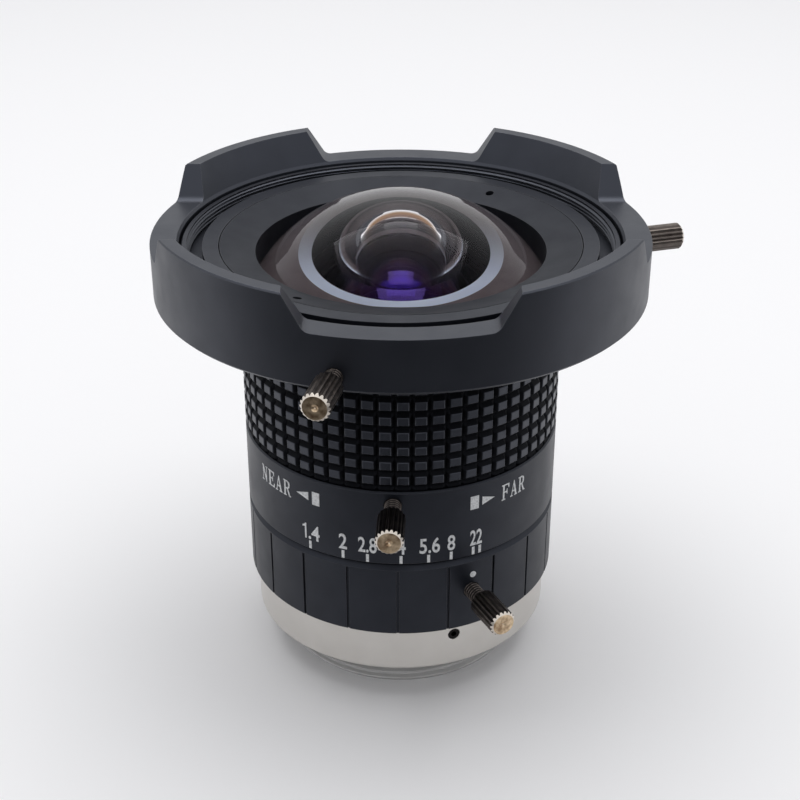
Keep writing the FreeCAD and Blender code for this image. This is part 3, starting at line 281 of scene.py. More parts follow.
nickel_colour = put(nickel, "Mix", {"Factor": (on_thread, "Result"), 7: nickel_thread_painted_shade},
                    data_type="RGBA")
thread_dull = put(nickel, "MapRange", {"Value": (on_thread, "Result"), "To Max": 0.35})
nickel_roughness = put(nickel, "Math", {0: (nickel_gloss, "Result"), 1: (thread_dull, "Result")},
                       operation="ADD")
nickel.node_tree.links.new(nickel_tone.outputs["Color"], nickel_colour.inputs[6])
feed_shader(nickel, nickel_shader, Base_Color=(nickel_colour, 2),
            Roughness=(nickel_roughness, "Value"), Normal=(nickel_bump, "Normal"))

foot = merged_copy("mount_base")
plain = [face for face in foot.faces
         if abs(face.calc_center_median().xy.length * 1000 - thread_radius) < facet_slack
         and thread_low < face.calc_center_median().z * 1000 < thread_high]
bmesh.ops.delete(foot, geom=plain, context="FACES_ONLY")
loop = np.array(sorted(
    math.atan2(vert.co.x, -vert.co.y) for vert in foot.verts
    if abs(vert.co.z * 1000 - thread_high) < corner_slack
    and abs(vert.co.xy.length * 1000 - thread_radius) < corner_slack))
heights = np.linspace(thread_low, thread_high, thread_rows)
run_out = np.clip(np.minimum(heights - thread_low, thread_high - heights) / thread_run_out, 0, 1)
thread_turn = np.broadcast_to(loop / (2 * np.pi), (len(heights), len(loop)))
thread_reach = thread_radius - run_out[:, None] * thread_depth(
    heights[:, None], thread_turn, thread_pitch, thread_cut)
thread_points = np.stack([thread_reach * np.sin(loop), -thread_reach * np.cos(loop),
                          np.broadcast_to(heights[:, None], thread_reach.shape)], axis=-1)
rows = [[foot.verts.new(point) for point in row] for row in (thread_points * 0.001).tolist()]
for corners in grid_faces(len(heights), len(loop), closed_columns=True).tolist():
    foot.faces.new([rows[corner // len(loop)][corner % len(loop)] for corner in corners])
bmesh.ops.remove_doubles(foot, verts=foot.verts, dist=2e-6)
bmesh.ops.recalc_face_normals(foot, faces=foot.faces)
foot_mesh = bpy.data.meshes.new("threaded_foot")
foot.to_mesh(foot_mesh)
foot.free()
foot_mesh.shade_smooth()
foot_mesh.set_sharp_from_angle(angle=math.radians(25))
threaded_foot = bpy.data.objects.new("threaded_foot", foot_mesh)
bpy.context.scene.collection.objects.link(threaded_foot)
dress(nickel, threaded_foot)
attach(threaded_foot, "barrel")
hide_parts("mount_base")


# The guide screw, the iris pin and the snap ring are small pieces of blackened steel, turned or bent,
# that hold and drive what is inside the barrel.
dark_steel, dark_steel_shader = new_material("dark_steel", Metallic=1.0)
place = put(dark_steel, "TexCoord", {})
specks = put(dark_steel, "TexNoise", {"Vector": (place, "Object"), "Scale": 2500.0, "Detail": 3.0})
dark_steel_tone = tones(dark_steel, (specks, "Fac"), (0.035, 0.033, 0.033), (0.11, 0.10, 0.10))
dark_steel_gloss = put(dark_steel, "MapRange", {"Value": (specks, "Fac"), "To Min": 0.25, "To Max": 0.5})
feed_shader(dark_steel, dark_steel_shader, Base_Color=(dark_steel_tone, "Color"),
            Roughness=(dark_steel_gloss, "Result"))
dress(dark_steel, "guide_screw", "iris_drive_pin", "iris_snap_ring")


# The fixed barrel is turned aluminium, blasted and black anodised. Its engraved band carries the
# aperture scale, with a tick under each number, and the focus marks, all filled with white paint.
barrel_radius = 16.5
paint_below, paint_depth = 0.03, 0.06
flat_thickness = 0.02
tick_width, tick_foot, tick_top = 1.04, 13.85, 14.75
figure_foot, figure_top = 14.93, 16.72
anodised_tint = (0.78, 0.83, 1.0, 1)
# the paler colour of the painted highlight along edges
edge_highlight_colour = (0.3, 0.3, 0.31, 1)


def anodised(name, dark, light, roughness, specular, grain_depth, edge, rounding=0.00009):
    """Black anodised aluminium: fine blasted grain, clouds in tone and gloss, and a painted highlight
    that makes it paler along edges.
    """
    material, shader = new_material(name, Specular_IOR_Level=specular)
    shader.inputs["Specular Tint"].default_value = anodised_tint
    place = put(material, "TexCoord", {})
    cloud = put(material, "TexNoise", {"Vector": (place, "Object"), "Scale": 320.0, "Detail": 4.0})
    blast = put(material, "TexNoise", {"Vector": (place, "Object"), "Scale": 7000.0, "Detail": 2.0})
    tone = tones(material, (cloud, "Fac"), dark, light, 0.3, 0.7)
    gloss = put(material, "MapRange", {"Value": (cloud, "Fac"), "From Min": 0.3, "From Max": 0.7,
                                       "To Min": roughness + 0.04, "To Max": roughness - 0.04})
    rounded = put(material, "Bevel", {"Radius": rounding}, samples=4)
    flat = put(material, "NewGeometry", {})
    agreement = put(material, "VectorMath", {0: (rounded, "Normal"), 1: (flat, "Normal")},
                    operation="DOT_PRODUCT")
    # painted highlight: the colour turns paler where the rounded normal parts from the flat one, along
    # edges
    painted_edge_highlight = put(material, "MapRange", {"Value": (agreement, "Value"), "From Min": 0.99,
                                      "From Max": 0.85, "To Max": edge})
    blend = put(material, "Mix", {"Factor": (painted_edge_highlight, "Result"), 7: edge_highlight_colour}, data_type="RGBA")
    material.node_tree.links.new(tone.outputs["Color"], blend.inputs[6])
    bump = put(material, "Bump", {"Height": (blast, "Fac"), "Normal": (rounded, "Normal"),
                                  "Strength": 0.35, "Distance": grain_depth})
    feed_shader(material, shader, Base_Color=(blend, 2), Roughness=(gloss, "Result"),
                Normal=(bump, "Normal"))
    return material


barrel_black = anodised("barrel_black", dark=(0.0038, 0.0045, 0.0068), light=(0.0072, 0.0084, 0.0118),
                        roughness=0.42, specular=0.42, grain_depth=0.000012, edge=0.2)
dress(barrel_black, "main_barrel", "focus_ring_retainer")

white_fill, white_fill_shader = new_material("white_paint_fill", Roughness=0.6)
place = put(white_fill, "TexCoord", {})
chalk = put(white_fill, "TexNoise", {"Vector": (place, "Object"), "Scale": 5000.0, "Detail": 2.0})
white_tone = tones(white_fill, (chalk, "Fac"), (0.58, 0.59, 0.60), (0.86, 0.87, 0.88), 0.25, 0.6)
white_bump = put(white_fill, "Bump", {"Height": (chalk, "Fac"), "Strength": 0.3, "Distance": 0.00001})
feed_shader(white_fill, white_fill_shader, Base_Color=(white_tone, "Color"),
            Normal=(white_bump, "Normal"))


def wrap_on_band(name, mesh, left, right, foot, top, body="barrel"):
    """Fit a flat mesh between two azimuths and two heights and roll it on the barrel: a point's
    azimuth is its x on that span, its height its y, and its radius the barrel's plus its z."""
    flat = np.empty(len(mesh.vertices) * 3)
    mesh.vertices.foreach_get("co", flat)
    flat = flat.reshape(-1, 3)
    low, high = flat.min(axis=0), flat.max(axis=0)
    share = (flat - low) / np.maximum(high - low, 1e-9)
    azimuth = np.radians(left + (right - left) * share[:, 0])
    radius = barrel_radius - paint_below + paint_depth * share[:, 2]
    placed = np.stack([radius * np.sin(azimuth), -radius * np.cos(azimuth),
                       foot + (top - foot) * share[:, 1]], axis=1)
    mesh.vertices.foreach_set("co", (placed * 0.001).ravel())
    mesh.update()
    piece = bpy.data.objects.new(name, mesh)
    bpy.context.scene.collection.objects.link(piece)
    dress(white_fill, piece)
    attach(piece, body)


def mesh_of(curve):
    """The mesh of a flat curve or text with a little thickness, and the object that held it taken away.
    """
    holder = bpy.data.objects.new(curve.name, curve)
    mesh = bpy.data.meshes.new_from_object(holder)
    bpy.data.objects.remove(holder)
    return mesh


def figure(name, words, left, right):
    """Plain sans numbers, as the aperture scale has, rolled on the band."""
    text = bpy.data.curves.new(name, "FONT")
    text.body = words
    text.extrude = flat_thickness
    text.offset = 0.016
    wrap_on_band(name, mesh_of(text), left, right, figure_foot, figure_top)


def mark(name, outlines, left, right, foot, top, body="barrel"):
    """A flat mark from closed outlines, with holes where one lies in another, rolled on the band."""
    curve = bpy.data.curves.new(name, "CURVE")
    curve.dimensions = "2D"
    curve.fill_mode = "BOTH"
    curve.extrude = flat_thickness
    for outline in outlines:
        spline = curve.splines.new("POLY")
        spline.points.add(len(outline) - 1)
        spline.points.foreach_set("co", np.array([(x, y, 0, 1) for x, y in outline]).ravel())
        spline.use_cyclic_u = True
    wrap_on_band(name, mesh_of(curve), left, right, foot, top, body)


square = [(0, 0), (1, 0), (1, 1), (0, 1)]
for stop, azimuth in (("1.4", -33.7), ("2", -20.6), ("2.8", -11.7), ("4", 0.0), ("5.6", 9.6),
                      ("8", 17.7), ("16", 26.1), ("22", 28.7)):
    mark("tick_" + stop, [square], azimuth - tick_width / 2, azimuth + tick_width / 2,
         tick_foot, tick_top)
mark("figure_1", [[(0.62, 0), (1, 0), (1, 1), (0.72, 1), (0.5, 0.9), (0, 0.83), (0, 0.72), (0.62, 0.78)]],
     -37.0, -35.3, figure_foot, figure_top)
figure("figure_point_4", ".4", -34.4, -29.7)
for stop, left, right in (("2", -22.1, -19.1), ("2.8", -15.0, -8.4), ("4", -1.6, 1.6),
                          ("5.6", 6.4, 13.6), ("8", 16.3, 19.1), ("22", 24.8, 29.5)):
    figure("figure_" + stop, stop, left, right)

# each letter is drawn in a box one wide and one high, with thin serifs at the ends of its strokes
letters = {
    "N": [[(0, 0), (0.32, 0), (0.32, 0.07), (0.22, 0.07), (0.22, 0.72), (0.74, 0), (0.86, 0),
           (0.86, 0.93), (1, 0.93), (1, 1), (0.66, 1), (0.66, 0.93), (0.78, 0.93), (0.78, 0.3),
           (0.28, 1), (0, 1), (0, 0.93), (0.13, 0.93), (0.13, 0.07), (0, 0.07)]],
    "E": [[(0, 0), (1, 0), (1, 0.26), (0.9, 0.26), (0.82, 0.08), (0.36, 0.08), (0.36, 0.48),
           (0.62, 0.48), (0.68, 0.36), (0.76, 0.36), (0.76, 0.68), (0.68, 0.68), (0.62, 0.56),
           (0.36, 0.56), (0.36, 0.92), (0.8, 0.92), (0.88, 0.74), (0.96, 0.74), (0.96, 1),
           (0, 1), (0, 0.93), (0.14, 0.93), (0.14, 0.07), (0, 0.07)]],
    "A": [[(0, 0), (0.34, 0), (0.34, 0.07), (0.22, 0.07), (0.29, 0.29), (0.62, 0.29), (0.7, 0.07),
           (0.58, 0.07), (0.58, 0), (1, 0), (1, 0.07), (0.92, 0.07), (0.56, 1), (0.48, 1),
           (0.12, 0.07), (0, 0.07)],
          [(0.32, 0.38), (0.59, 0.38), (0.46, 0.76)]],
    "R": [[(0, 0), (0.42, 0), (0.42, 0.07), (0.32, 0.07), (0.32, 0.46), (0.46, 0.46),
           (0.76, 0), (1, 0), (1, 0.07), (0.9, 0.07), (0.64, 0.48), (0.8, 0.56), (0.88, 0.74),
           (0.8, 0.92), (0.56, 1), (0, 1), (0, 0.93), (0.12, 0.93), (0.12, 0.07), (0, 0.07)],
          [(0.32, 0.54), (0.52, 0.54), (0.65, 0.62), (0.68, 0.74), (0.64, 0.86), (0.5, 0.92),
           (0.32, 0.92)]],
    "F": [[(0, 0), (0.48, 0), (0.48, 0.07), (0.36, 0.07), (0.36, 0.46), (0.62, 0.46),
           (0.68, 0.34), (0.76, 0.34), (0.76, 0.68), (0.68, 0.68), (0.62, 0.55), (0.36, 0.55),
           (0.36, 0.92), (0.82, 0.92), (0.9, 0.72), (1, 0.72), (1, 1), (0, 1), (0, 0.93),
           (0.14, 0.93), (0.14, 0.07), (0, 0.07)]],
}
letter_gap = 0.2
letter_step = 1 + letter_gap
word_places = (("near", "NEAR", -59.2, -42.1, 18.95, 20.75), ("far", "FAR", 37.6, 49.2, 19.06, 20.85))
for word_name, word, left, right, foot_height, top_height in word_places:
    share = (right - left) / (len(word) * letter_step - letter_gap)
    for index, letter in enumerate(word):
        start = left + index * letter_step * share
        mark(f"{word_name}_{index + 1}_{letter}", letters[letter], start, start + share,
             foot_height, top_height)
mark("near_bar", [square], -32.4, -29.4, 19.2, 20.7)
mark("near_arrow", [[(0, 0.5), (1, 0), (1, 1)]], -39.3, -34.0, 19.54, 20.48)
mark("far_bar", [square], 24.6, 27.85, 19.2, 20.7)
mark("far_arrow", [[(0, 0), (1, 0.5), (0, 1)]], 29.25, 34.4, 19.46, 20.40)


# The iris ring turns under the band. It is the same black anodised aluminium, with twenty fine
# grip lines cut down it and a white index dot that points at the aperture scale.
dress(barrel_black, "iris_ring")
dot_points = 24
round_about = np.linspace(0, 2 * np.pi, dot_points, endpoint=False)
dot = [(math.cos(angle), math.sin(angle)) for angle in round_about]
mark("index_dot", [dot], 25.1, 27.5, 11.05, 11.75, "iris_ring")


# The focus ring is knurled with sixty columns and seven rows of flat topped pads, cut by V grooves
# round it and down it. It is black anodised aluminium and turns on the helicoid.
ring_foot, ring_top = 22.3, 34.0
row_pitch, row_start, row_half = 1.64, 22.58, 0.42
column_count, column_half, column_azimuth = 60, 0.33, 3.7
groove_depth = 0.42
corner_break = 0.04
groove_bottom, pad_rim = 15.9, 0.045


def face_middles(piece):
    """How far the middle of each face is from the lens's axis, and its height, in millimetres."""
    middles = np.empty(len(piece.data.polygons) * 3)
    piece.data.polygons.foreach_get("center", middles)
    middles = middles.reshape(-1, 3) * 1000
    return np.hypot(middles[:, 0], middles[:, 1]), middles[:, 2]


def finish_faces(piece, slots):
    """Give each face the material slot whose number stands for it in the array."""
    piece.data.polygons.foreach_set("material_index", slots.astype(np.int32))
    piece.data.update()


def groove(distance, half):
    """Depth of a V groove at a distance from its middle, from full depth to none at its half width."""
    return groove_depth * np.clip(1 - np.abs(distance) / half, 0, 1)


row_steps = np.array([0, row_half * 0.1, row_half - corner_break, row_half + corner_break])
row_steps = np.unique(np.concatenate([row_steps, row_pitch - row_steps]))
row_heights = (row_start + row_pitch * np.arange(-1, 8)[:, None] + row_steps[None, :]).ravel()
row_heights = np.unique(np.round(row_heights, 5))
row_heights = row_heights[(row_heights > ring_foot) & (row_heights < ring_top)]
row_heights = np.concatenate([[ring_foot], row_heights, [ring_top]])
row_distance = (row_heights - row_start + row_pitch / 2) % row_pitch - row_pitch / 2
column_pitch = 2 * np.pi * barrel_radius / column_count
column_steps = np.array([0, column_half * 0.12, column_half - corner_break, column_half + corner_break])
column_steps = np.unique(np.concatenate([column_steps, column_pitch - column_steps]))[:-1]
column_places = (column_pitch * np.arange(column_count)[:, None] + column_steps[None, :]).ravel()
column_distance = (column_places + column_pitch / 2) % column_pitch - column_pitch / 2
ring_azimuth = np.radians(column_azimuth) + column_places / barrel_radius
cut_depth = np.maximum(groove(row_distance, row_half)[:, None],
                       groove(column_distance, column_half)[None, :])
knurl_radius = barrel_radius - cut_depth
# the bore of the ring from its top down, and its skirt inside the barrel up to the ring's foot
inner_line = np.array([(15.4, 34.0), (15.4, 26.2), (14.35, 26.2), (14.35, 18.9), (15.2, 18.9),
                       (15.2, 22.3)])
inner_radius = np.broadcast_to(inner_line[:, :1], (len(inner_line), len(ring_azimuth)))
all_radius = np.concatenate([knurl_radius, inner_radius])
all_height = np.concatenate([row_heights, inner_line[:, 1]])[:, None]
ring_points = np.stack([all_radius * np.sin(ring_azimuth), -all_radius * np.cos(ring_azimuth),
                        np.broadcast_to(all_height, all_radius.shape)], axis=-1)
knurled_ring = make_piece("knurled_focus_ring", ring_points,
                          grid_faces(*all_radius.shape, closed_rows=True, closed_columns=True), 22)
knurl_black = anodised("knurl_black", dark=(0.0042, 0.0048, 0.0068), light=(0.0085, 0.0095, 0.0125),
                       roughness=0.36, specular=0.75, grain_depth=0.000008, edge=0.03, rounding=0.00003)
# painted shade: the groove faces get a far darker, duller black than the pad tops
groove_black = anodised("groove_black", dark=(0.001, 0.001, 0.0013), light=(0.002, 0.002, 0.0026),
                        roughness=0.55, specular=0.12, grain_depth=0.000008, edge=0.0, rounding=0.00003)
dress(knurl_black, knurled_ring)
knurled_ring.data.materials.append(groove_black)
from_axis = face_middles(knurled_ring)[0]
# faces below the pad tops, in the grooves, take the second slot, the painted shade
finish_faces(knurled_ring, (from_axis > groove_bottom) & (from_axis < barrel_radius - pad_rim))
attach(knurled_ring, "focus_ring")
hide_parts("focus_ring")


# The front barrel carries all the glass. It is turned aluminium with a dull black anodised finish,
# and the rim round its trench has a fine filter thread on the inside.
front_black = anodised("front_black", dark=(0.0048, 0.0055, 0.0082), light=(0.0095, 0.0105, 0.0140),
                       roughness=0.46, specular=0.43, grain_depth=0.000008, edge=0.25)
dress(front_black, "front_barrel")
ring_black = anodised("ring_black", dark=(0.0038, 0.0043, 0.0065), light=(0.008, 0.009, 0.0120),
                      roughness=0.5, specular=0.32, grain_depth=0.000008, edge=0.25)
dress(ring_black, "front_retaining_ring")
ridge_pitch, ridge_depth, ridge_lift = 0.38, 0.2, 0.02
ridge_foot, ridge_top, ridge_run_out = 40.75, 42.1, 0.12
ridge_root, ridge_back = 21.46, 21.5
ridge_rows, ridge_sides = 55, 160
ridge_heights = np.linspace(ridge_foot, ridge_top, ridge_rows)
ridge_azimuth = np.linspace(0, 2 * np.pi, ridge_sides, endpoint=False)
ridge_turn = ridge_azimuth[None, :] / (2 * np.pi)
ridge_ends = np.minimum(ridge_heights - ridge_foot, ridge_top - ridge_heights)
ridge_fade = np.clip(ridge_ends / ridge_run_out, 0, 1)[:, None]
ridge_radius = ridge_root - ridge_fade * (ridge_lift + thread_depth(
    ridge_heights[:, None], ridge_turn, ridge_pitch, ridge_depth))
ridge_all = np.concatenate([ridge_radius, np.full((2, ridge_sides), ridge_back)])
ridge_all_heights = np.concatenate([ridge_heights, [ridge_top, ridge_foot]])[:, None]
ridge_points = np.stack([ridge_all * np.sin(ridge_azimuth), -ridge_all * np.cos(ridge_azimuth),
                         np.broadcast_to(ridge_all_heights, ridge_all.shape)], axis=-1)
rim_thread = make_piece("rim_thread", ridge_points,
                        grid_faces(*ridge_all.shape, closed_rows=True, closed_columns=True), 20)
dress(knurl_black, rim_thread)
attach(rim_thread, "front_group")


# The glass elements are ground, polished and coated, and each is a solid turned between spheres.
# The domed front one has a hollow below, a bevel round the hollow's mouth that is painted bright
# white-blue as a painted reflection, and a ground rim outside that. It stands on a ground seat that
# is painted black inside.
dome_centre, dome_radius, dome_edge = 29.0, 17.4, 15.18
ground_height, bevel_edge, hollow_mouth = 37.5, 8.3, 7.1
hollow_centre, hollow_radius, hollow_foot = 37.3, 5.25, 5.246
second_seat, second_edge, second_hollow_edge = 32.0, 6.68, 4.9
cell_edge, rear_edge = 7.88, 7.08
seat_bore, seat_lower_bore, seat_edge = 8.28, 9.0, 15.37
seat_shoulder, seat_foot, seat_gap = 37.12, 36.02, 0.01
coated, ground_rim, bevel, open_mouth = range(4)


def turned(name, profile, crease=35, steps=160):
    """Carry a profile of (radius, height) points round the axis: x is the radius times the sine of
    the azimuth and y minus the radius times its cosine. A profile off the axis closes on itself."""
    profile = np.asarray(profile, float)
    azimuth = np.linspace(0, 2 * np.pi, steps, endpoint=False)
    radius, height = profile[:, :1], profile[:, 1:]
    points = np.stack([radius * np.sin(azimuth), -radius * np.cos(azimuth),
                       np.broadcast_to(height, (len(profile), steps))], axis=-1)
    on_axis = profile[0, 0] == 0 and profile[-1, 0] == 0
    return make_piece(name, points, grid_faces(len(profile), steps, not on_axis, True), crease)


def sphere_line(centre, radius, start, end, count=24):
    """Points on a sphere between two distances from the axis. A negative radius takes its lower half."""
    angle = np.linspace(math.asin(start / abs(radius)), math.asin(end / abs(radius)), count)
    return np.stack([abs(radius) * np.sin(angle), centre + radius * np.cos(angle)], axis=1)


def glass(name, tint, reflection, index):
    """Coated optical glass, clear with a faint tint and a coloured reflection."""
    material, shader = new_material(name, Transmission_Weight=1.0, IOR=index)
    shader.inputs["Specular Tint"].default_value = (*reflection, 1)
    place = put(material, "TexCoord", {})
    haze = put(material, "TexNoise", {"Vector": (place, "Object"), "Scale": 400.0, "Detail": 5.0})
    film = put(material, "MapRange", {"Value": (haze, "Fac"), "From Min": 0.45, "From Max": 0.9,
                                      "To Min": 0.0, "To Max": 0.02})
    half_tint = [0.5 + part / 2 for part in tint]
    shade = tones(material, (haze, "Fac"), tint, half_tint)
    feed_shader(material, shader, Base_Color=(shade, "Color"), Roughness=(film, "Result"))
    return material


front_coating = glass("front_coating", tint=(0.95, 0.93, 0.95), reflection=(0.04, 0.03, 0.06), index=1.5)
inner_coating = glass("inner_coating", tint=(0.5, 0.42, 0.98), reflection=(0.3, 0.16, 1.0), index=1.6)
# each profile goes from the axis out over the front of an element and back in over its rear
elements = (
    ("front_element", front_coating, "front_glass", np.concatenate([
        sphere_line(dome_centre, dome_radius, 0, dome_edge, 40),
        [(bevel_edge, ground_height), (hollow_mouth, ground_height)],
        sphere_line(hollow_centre, hollow_radius, hollow_foot, 0, 32)])),
    ("second_element", inner_coating, "inner_glass", np.concatenate([
        sphere_line(28.5, 8.0, 0, second_edge, 28),
        [(second_edge, second_seat), (second_hollow_edge, second_seat)],
        sphere_line(30.259, 5.2, second_hollow_edge, 0, 24)])),
    ("third_element", inner_coating, "inner_glass", np.concatenate([
        sphere_line(43.4, -14.0, 0, 6.5), [(cell_edge, 31.0), (cell_edge, 26.5), (0, 26.5)]])),
    ("fourth_element", inner_coating, "inner_glass", np.concatenate([
        sphere_line(5.917, 18.0, 0, cell_edge), sphere_line(40.557, -22.0, cell_edge, 0)])),
    ("doublet_front", inner_coating, "inner_glass", np.concatenate([
        [(0, 8.0), (cell_edge, 8.0)], sphere_line(-9.004, 16.0, cell_edge, 0)])),
    ("doublet_rear", inner_coating, "inner_glass", np.concatenate([
        sphere_line(-9.024, 16.0, 0, cell_edge), [(cell_edge, 3.4), (0, 3.4)]])),
    ("rear_element", inner_coating, "inner_glass", np.concatenate([
        [(0, 2.4), (rear_edge, 2.4)], sphere_line(33.6, -34.0, rear_edge, 0)])),
)
for node, coating, slot_name, profile in elements:
    element = turned(node + "_glass", profile)
    dress(coating, element)
    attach(element, "front_group")
    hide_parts(node)

ground, ground_shader = new_material("ground_glass", Roughness=0.55, Specular_IOR_Level=0.2)
place = put(ground, "TexCoord", {})
frost = put(ground, "TexNoise", {"Vector": (place, "Object"), "Scale": 900.0, "Detail": 4.0})
ground_tone = tones(ground, (frost, "Fac"), (0.10, 0.085, 0.09), (0.16, 0.14, 0.15))
ground_bump = put(ground, "Bump", {"Height": (frost, "Fac"), "Strength": 0.2, "Distance": 0.00002})
feed_shader(ground, ground_shader, Base_Color=(ground_tone, "Color"), Normal=(ground_bump, "Normal"))

# painted reflection: the bevel is painted bright white-blue, as the light it reflects, and the paint
# fades to a dark colour towards the back of the lens
painted_bevel_reflection, bevel_shader = new_material("bright_bevel", Roughness=0.4)
place = put(painted_bevel_reflection, "TexCoord", {})
bevel_cloud = put(painted_bevel_reflection, "TexNoise", {"Vector": (place, "Object"), "Scale": 300.0})
bevel_reflection_tone = tones(painted_bevel_reflection, (bevel_cloud, "Fac"), (0.56, 0.68, 0.90), (0.70, 0.84, 1.0))
bevel_parts = put(painted_bevel_reflection, "SeparateXYZ", {"Vector": (place, "Object")})
bevel_behind = put(painted_bevel_reflection, "MapRange", {"Value": (bevel_parts, "Y"), "From Min": -0.005,
                                             "From Max": 0.0065}, interpolation_type="SMOOTHSTEP")
bevel_mix = put(painted_bevel_reflection, "Mix", {"Factor": (bevel_behind, "Result"), 7: (0.075, 0.065, 0.065, 1)},
                data_type="RGBA")
painted_bevel_reflection.node_tree.links.new(bevel_reflection_tone.outputs["Color"], bevel_mix.inputs[6])
feed_shader(painted_bevel_reflection, bevel_shader, Base_Color=(bevel_mix, 2))

dome = bpy.data.objects["front_element_glass"]
dome.data.materials.append(ground)
dome.data.materials.append(painted_bevel_reflection)
# the flat face between the bevel and the hollow shows as nothing, so that the hollow looks open
hollow_clear = new_material("clear_hollow", Alpha=0.0)[0]
dome.data.materials.append(hollow_clear)
from_axis, above_flange = face_middles(dome)
on_base = np.abs(above_flange - ground_height) < seat_gap
base_zone = np.where(from_axis < hollow_mouth, open_mouth,
                     np.where(from_axis < bevel_edge, bevel, ground_rim))
finish_faces(dome, np.where(on_base, base_zone, coated))
seat_top = ground_height - seat_gap
ground_seat = turned("front_element_seat", [
    (seat_bore, seat_top), (dome_edge, seat_top), (seat_edge, seat_shoulder),
    (seat_edge, seat_foot), (seat_lower_bore, seat_foot)])
dress(ground, ground_seat)
edge_paint, edge_paint_shader = new_material("black_edge_paint", Roughness=0.8, Specular_IOR_Level=0.03)
place = put(edge_paint, "TexCoord", {})
brush = put(edge_paint, "TexNoise", {"Vector": (place, "Object"), "Scale": 900.0, "Detail": 3.0})
paint_tone = tones(edge_paint, (brush, "Fac"), (0.002, 0.002, 0.002), (0.004, 0.004, 0.004))
feed_shader(edge_paint, edge_paint_shader, Base_Color=(paint_tone, "Color"))
ground_seat.data.materials.append(edge_paint)
finish_faces(ground_seat, face_middles(ground_seat)[0] < seat_lower_bore)
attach(ground_seat, "front_group")


# Behind the dome stand the dull black inner cell and the rings that hold the inner glass, then the
# iris with its five thin blades, and the rear cell. All are turned or stamped and blackened.
cell_black = anodised("cell_black", dark=(0.0012, 0.0009, 0.0009), light=(0.003, 0.0022, 0.002),
                      roughness=0.7, specular=0.04, grain_depth=0.000004, edge=0.05)
dress(cell_black, "inner_cell", "inner_spacer", "inner_cell_rear_ring", "rear_cell",
      "doublet_retaining_ring", "rear_retaining_ring", "second_retaining_ring",
      "iris_base_plate", "iris_drive_ring")
blade_black, blade_shader = new_material("blade_black", Metallic=0.6)
place = put(blade_black, "TexCoord", {})
blade_grain = put(blade_black, "TexNoise", {"Vector": (place, "Object"), "Scale": 1500.0})
blade_tone = tones(blade_black, (blade_grain, "Fac"), (0.02, 0.02, 0.022), (0.05, 0.05, 0.052))
blade_gloss = put(blade_black, "MapRange", {"Value": (blade_grain, "Fac"), "To Min": 0.3, "To Max": 0.5})
feed_shader(blade_black, blade_shader, Base_Color=(blade_tone, "Color"),
            Roughness=(blade_gloss, "Result"))
dress(blade_black, *[f"iris_blade_{number}" for number in range(1, 6)])


# The hood is one thick ring of aluminium with four petals, milled straight across so that a gap is
# left between each two. It is blasted to a fine matt black and sits over the front barrel.
hood_black = anodised("hood_black", dark=(0.0026, 0.0031, 0.0045), light=(0.005, 0.0058, 0.008),
                      roughness=0.42, specular=0.78, grain_depth=0.000014, edge=0.25)
dress(hood_black, "hood")


# Five thumb screws, three in the hood and two in the barrel. Each is a steel stud with a fine
# thread and a brass knob plated dark, with eighteen flutes and a bare brass end.
stud_radius, stud_pitch, stud_cut = 0.85, 0.35, 0.16
tip_radius, tip_length = 0.6, 0.55
stud_sides, steps_per_turn = 20, 8
hood_screw_height, hood_screw_tip, hood_screw_end = 38.8, 21.6, 29.0
lock_screw_end = 21.2

stud_steel, stud_shader = new_material("stud_steel", Metallic=1.0)
place = put(stud_steel, "TexCoord", {})
stud_specks = put(stud_steel, "TexNoise", {"Vector": (place, "Object"), "Scale": 2500.0, "Detail": 3.0})
on_crest = put(stud_steel, "Attribute", {}, attribute_name="crest")
# painted highlight and painted shade: the thread is painted light on its crests and dark in its roots;
# the set screws, which carry no crest values, take the dark root tone all over
stud_painted_light_tone = tones(stud_steel, (on_crest, "Fac"), (0.018, 0.016, 0.016), (0.17, 0.145, 0.13), 0.7, 1.0)
stud_gloss = put(stud_steel, "MapRange", {"Value": (stud_specks, "Fac"), "To Min": 0.22, "To Max": 0.45})
feed_shader(stud_steel, stud_shader, Base_Color=(stud_painted_light_tone, "Color"), Roughness=(stud_gloss, "Result"))
dress(stud_steel, "mount_set_screws")


def threaded_stud(name, azimuth, height, tip, end):
    """A rod laid on a radius of the lens: a plain dog tip, then a thread whose depth is a triangle
    wave of the distance along it less the turn about it. The crest value of a point is how far it
    is from the root of the thread, over the cut."""
    along = np.concatenate([[0, 0, tip_length],
                            np.arange(tip_length, end - tip, stud_pitch / steps_per_turn), [end - tip]])
    turn = np.linspace(0, 1, stud_sides, endpoint=False)
    wall = np.clip(stud_radius - thread_depth(along[:, None], turn[None, :], stud_pitch, stud_cut),
                   0, stud_radius)
    wall[:3] = tip_radius
    wall[0] = 0
    wall[-1] = 0
    across, up = wall * np.cos(2 * np.pi * turn), wall * np.sin(2 * np.pi * turn)
    reach = np.broadcast_to(tip + along[:, None], wall.shape)
    way = np.radians(azimuth)
    points = np.stack([reach * np.sin(way) + across * np.cos(way),
                       -reach * np.cos(way) + across * np.sin(way), height + up], axis=-1)
    stud = make_piece(name + "_thread", points, grid_faces(*wall.shape, closed_columns=True), 20)
    corners = np.empty(len(stud.data.vertices) * 3)
    stud.data.vertices.foreach_get("co", corners)
    corners = corners.reshape(-1, 3) * 1000
    from_stud_axis = np.hypot(corners[:, 0] * np.cos(way) + corners[:, 1] * np.sin(way),
                              corners[:, 2] - height)
    crest = stud.data.attributes.new("crest", "FLOAT", "POINT")
    crest.data.foreach_set("value", np.clip((from_stud_axis - stud_radius) / stud_cut + 1, 0, 1))
    dress(stud_steel, stud)
    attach(stud, name)
    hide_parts(name)


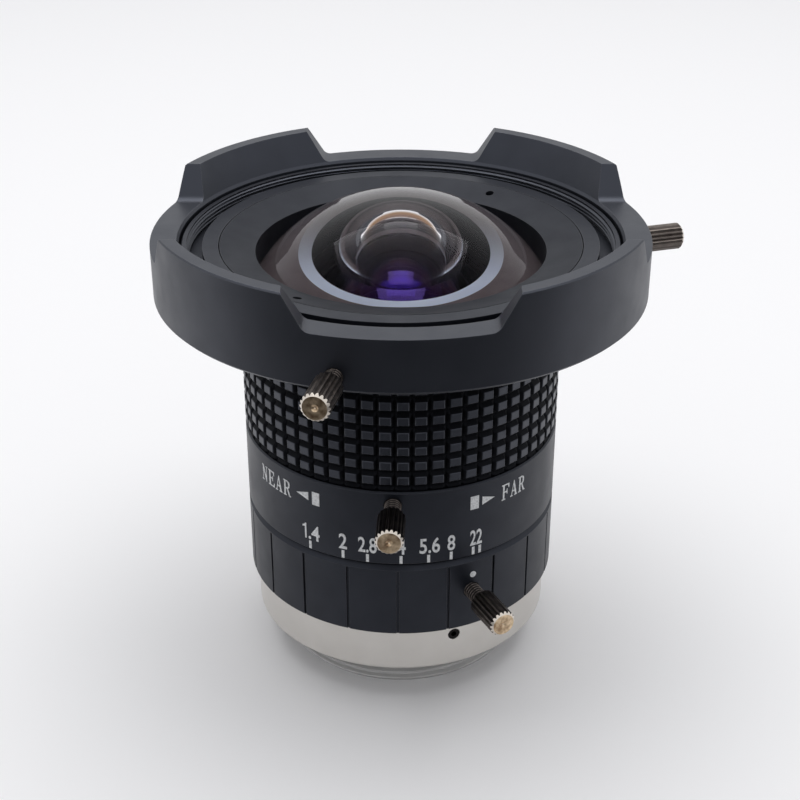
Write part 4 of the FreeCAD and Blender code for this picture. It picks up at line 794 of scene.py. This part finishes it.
for number, azimuth in ((1, -13.7), (2, 106.3), (3, 226.3)):
    threaded_stud(f"hood_screw_stud_{number}", azimuth, hood_screw_height, hood_screw_tip, hood_screw_end)
threaded_stud("focus_lock_stud", -2.8, 20.6, 15.3, lock_screw_end)
threaded_stud("iris_lock_stud", 26, 9.5, 14.7, lock_screw_end)

knob_metal, knob_shader = new_material("knob_metal", Metallic=1.0)
place = put(knob_metal, "TexCoord", {})
flat_place = put(knob_metal, "VectorMath", {0: (place, "Object"), 1: (1, 1, 0)}, operation="MULTIPLY")
outward = put(knob_metal, "VectorMath", {0: (flat_place, "Vector")}, operation="NORMALIZE")
facing = put(knob_metal, "VectorMath", {0: (place, "Normal"), 1: (outward, "Vector")},
             operation="DOT_PRODUCT")
on_end = put(knob_metal, "MapRange", {"Value": (facing, "Value"), "From Min": 0.80, "From Max": 0.86})
on_corner = put(knob_metal, "MapRange", {"Value": (facing, "Value"), "From Min": 0.35, "From Max": 0.55})
blotch = put(knob_metal, "TexNoise", {"Vector": (place, "Object"), "Scale": 1400.0, "Detail": 4.0})
brass = tones(knob_metal, (blotch, "Fac"), (0.30, 0.20, 0.12), (0.80, 0.63, 0.43), 0.35, 0.65)
plated = tones(knob_metal, (blotch, "Fac"), (0.05, 0.044, 0.042), (0.17, 0.145, 0.13))
# painted highlight: the chamfered corners round the knob's end are painted a pale bright colour over the
# dark plating
corner_painted_highlight = put(knob_metal, "Mix", {"Factor": (on_corner, "Result"), 6: (0, 0, 0, 1),
                                        7: (0.70, 0.64, 0.57, 1)}, data_type="RGBA")
knob_metal.node_tree.links.new(plated.outputs["Color"], corner_painted_highlight.inputs[6])
knob_colour = put(knob_metal, "Mix", {"Factor": (on_end, "Result")}, data_type="RGBA")
knob_metal.node_tree.links.new(corner_painted_highlight.outputs[2], knob_colour.inputs[6])
knob_metal.node_tree.links.new(brass.outputs["Color"], knob_colour.inputs[7])
knob_gloss = put(knob_metal, "MapRange", {"Value": (blotch, "Fac"), "To Min": 0.22, "To Max": 0.42})
knob_edge = put(knob_metal, "Bevel", {"Radius": 0.00003}, samples=4)
knob_bump = put(knob_metal, "Bump", {"Height": (blotch, "Fac"), "Normal": (knob_edge, "Normal"),
                                     "Strength": 0.2, "Distance": 0.00002})
feed_shader(knob_metal, knob_shader, Base_Color=(knob_colour, 2), Roughness=(knob_gloss, "Result"),
            Normal=(knob_bump, "Normal"))
dress(knob_metal, "hood_screw_knob_1", "hood_screw_knob_2", "hood_screw_knob_3",
      "focus_lock_knob", "iris_lock_knob")
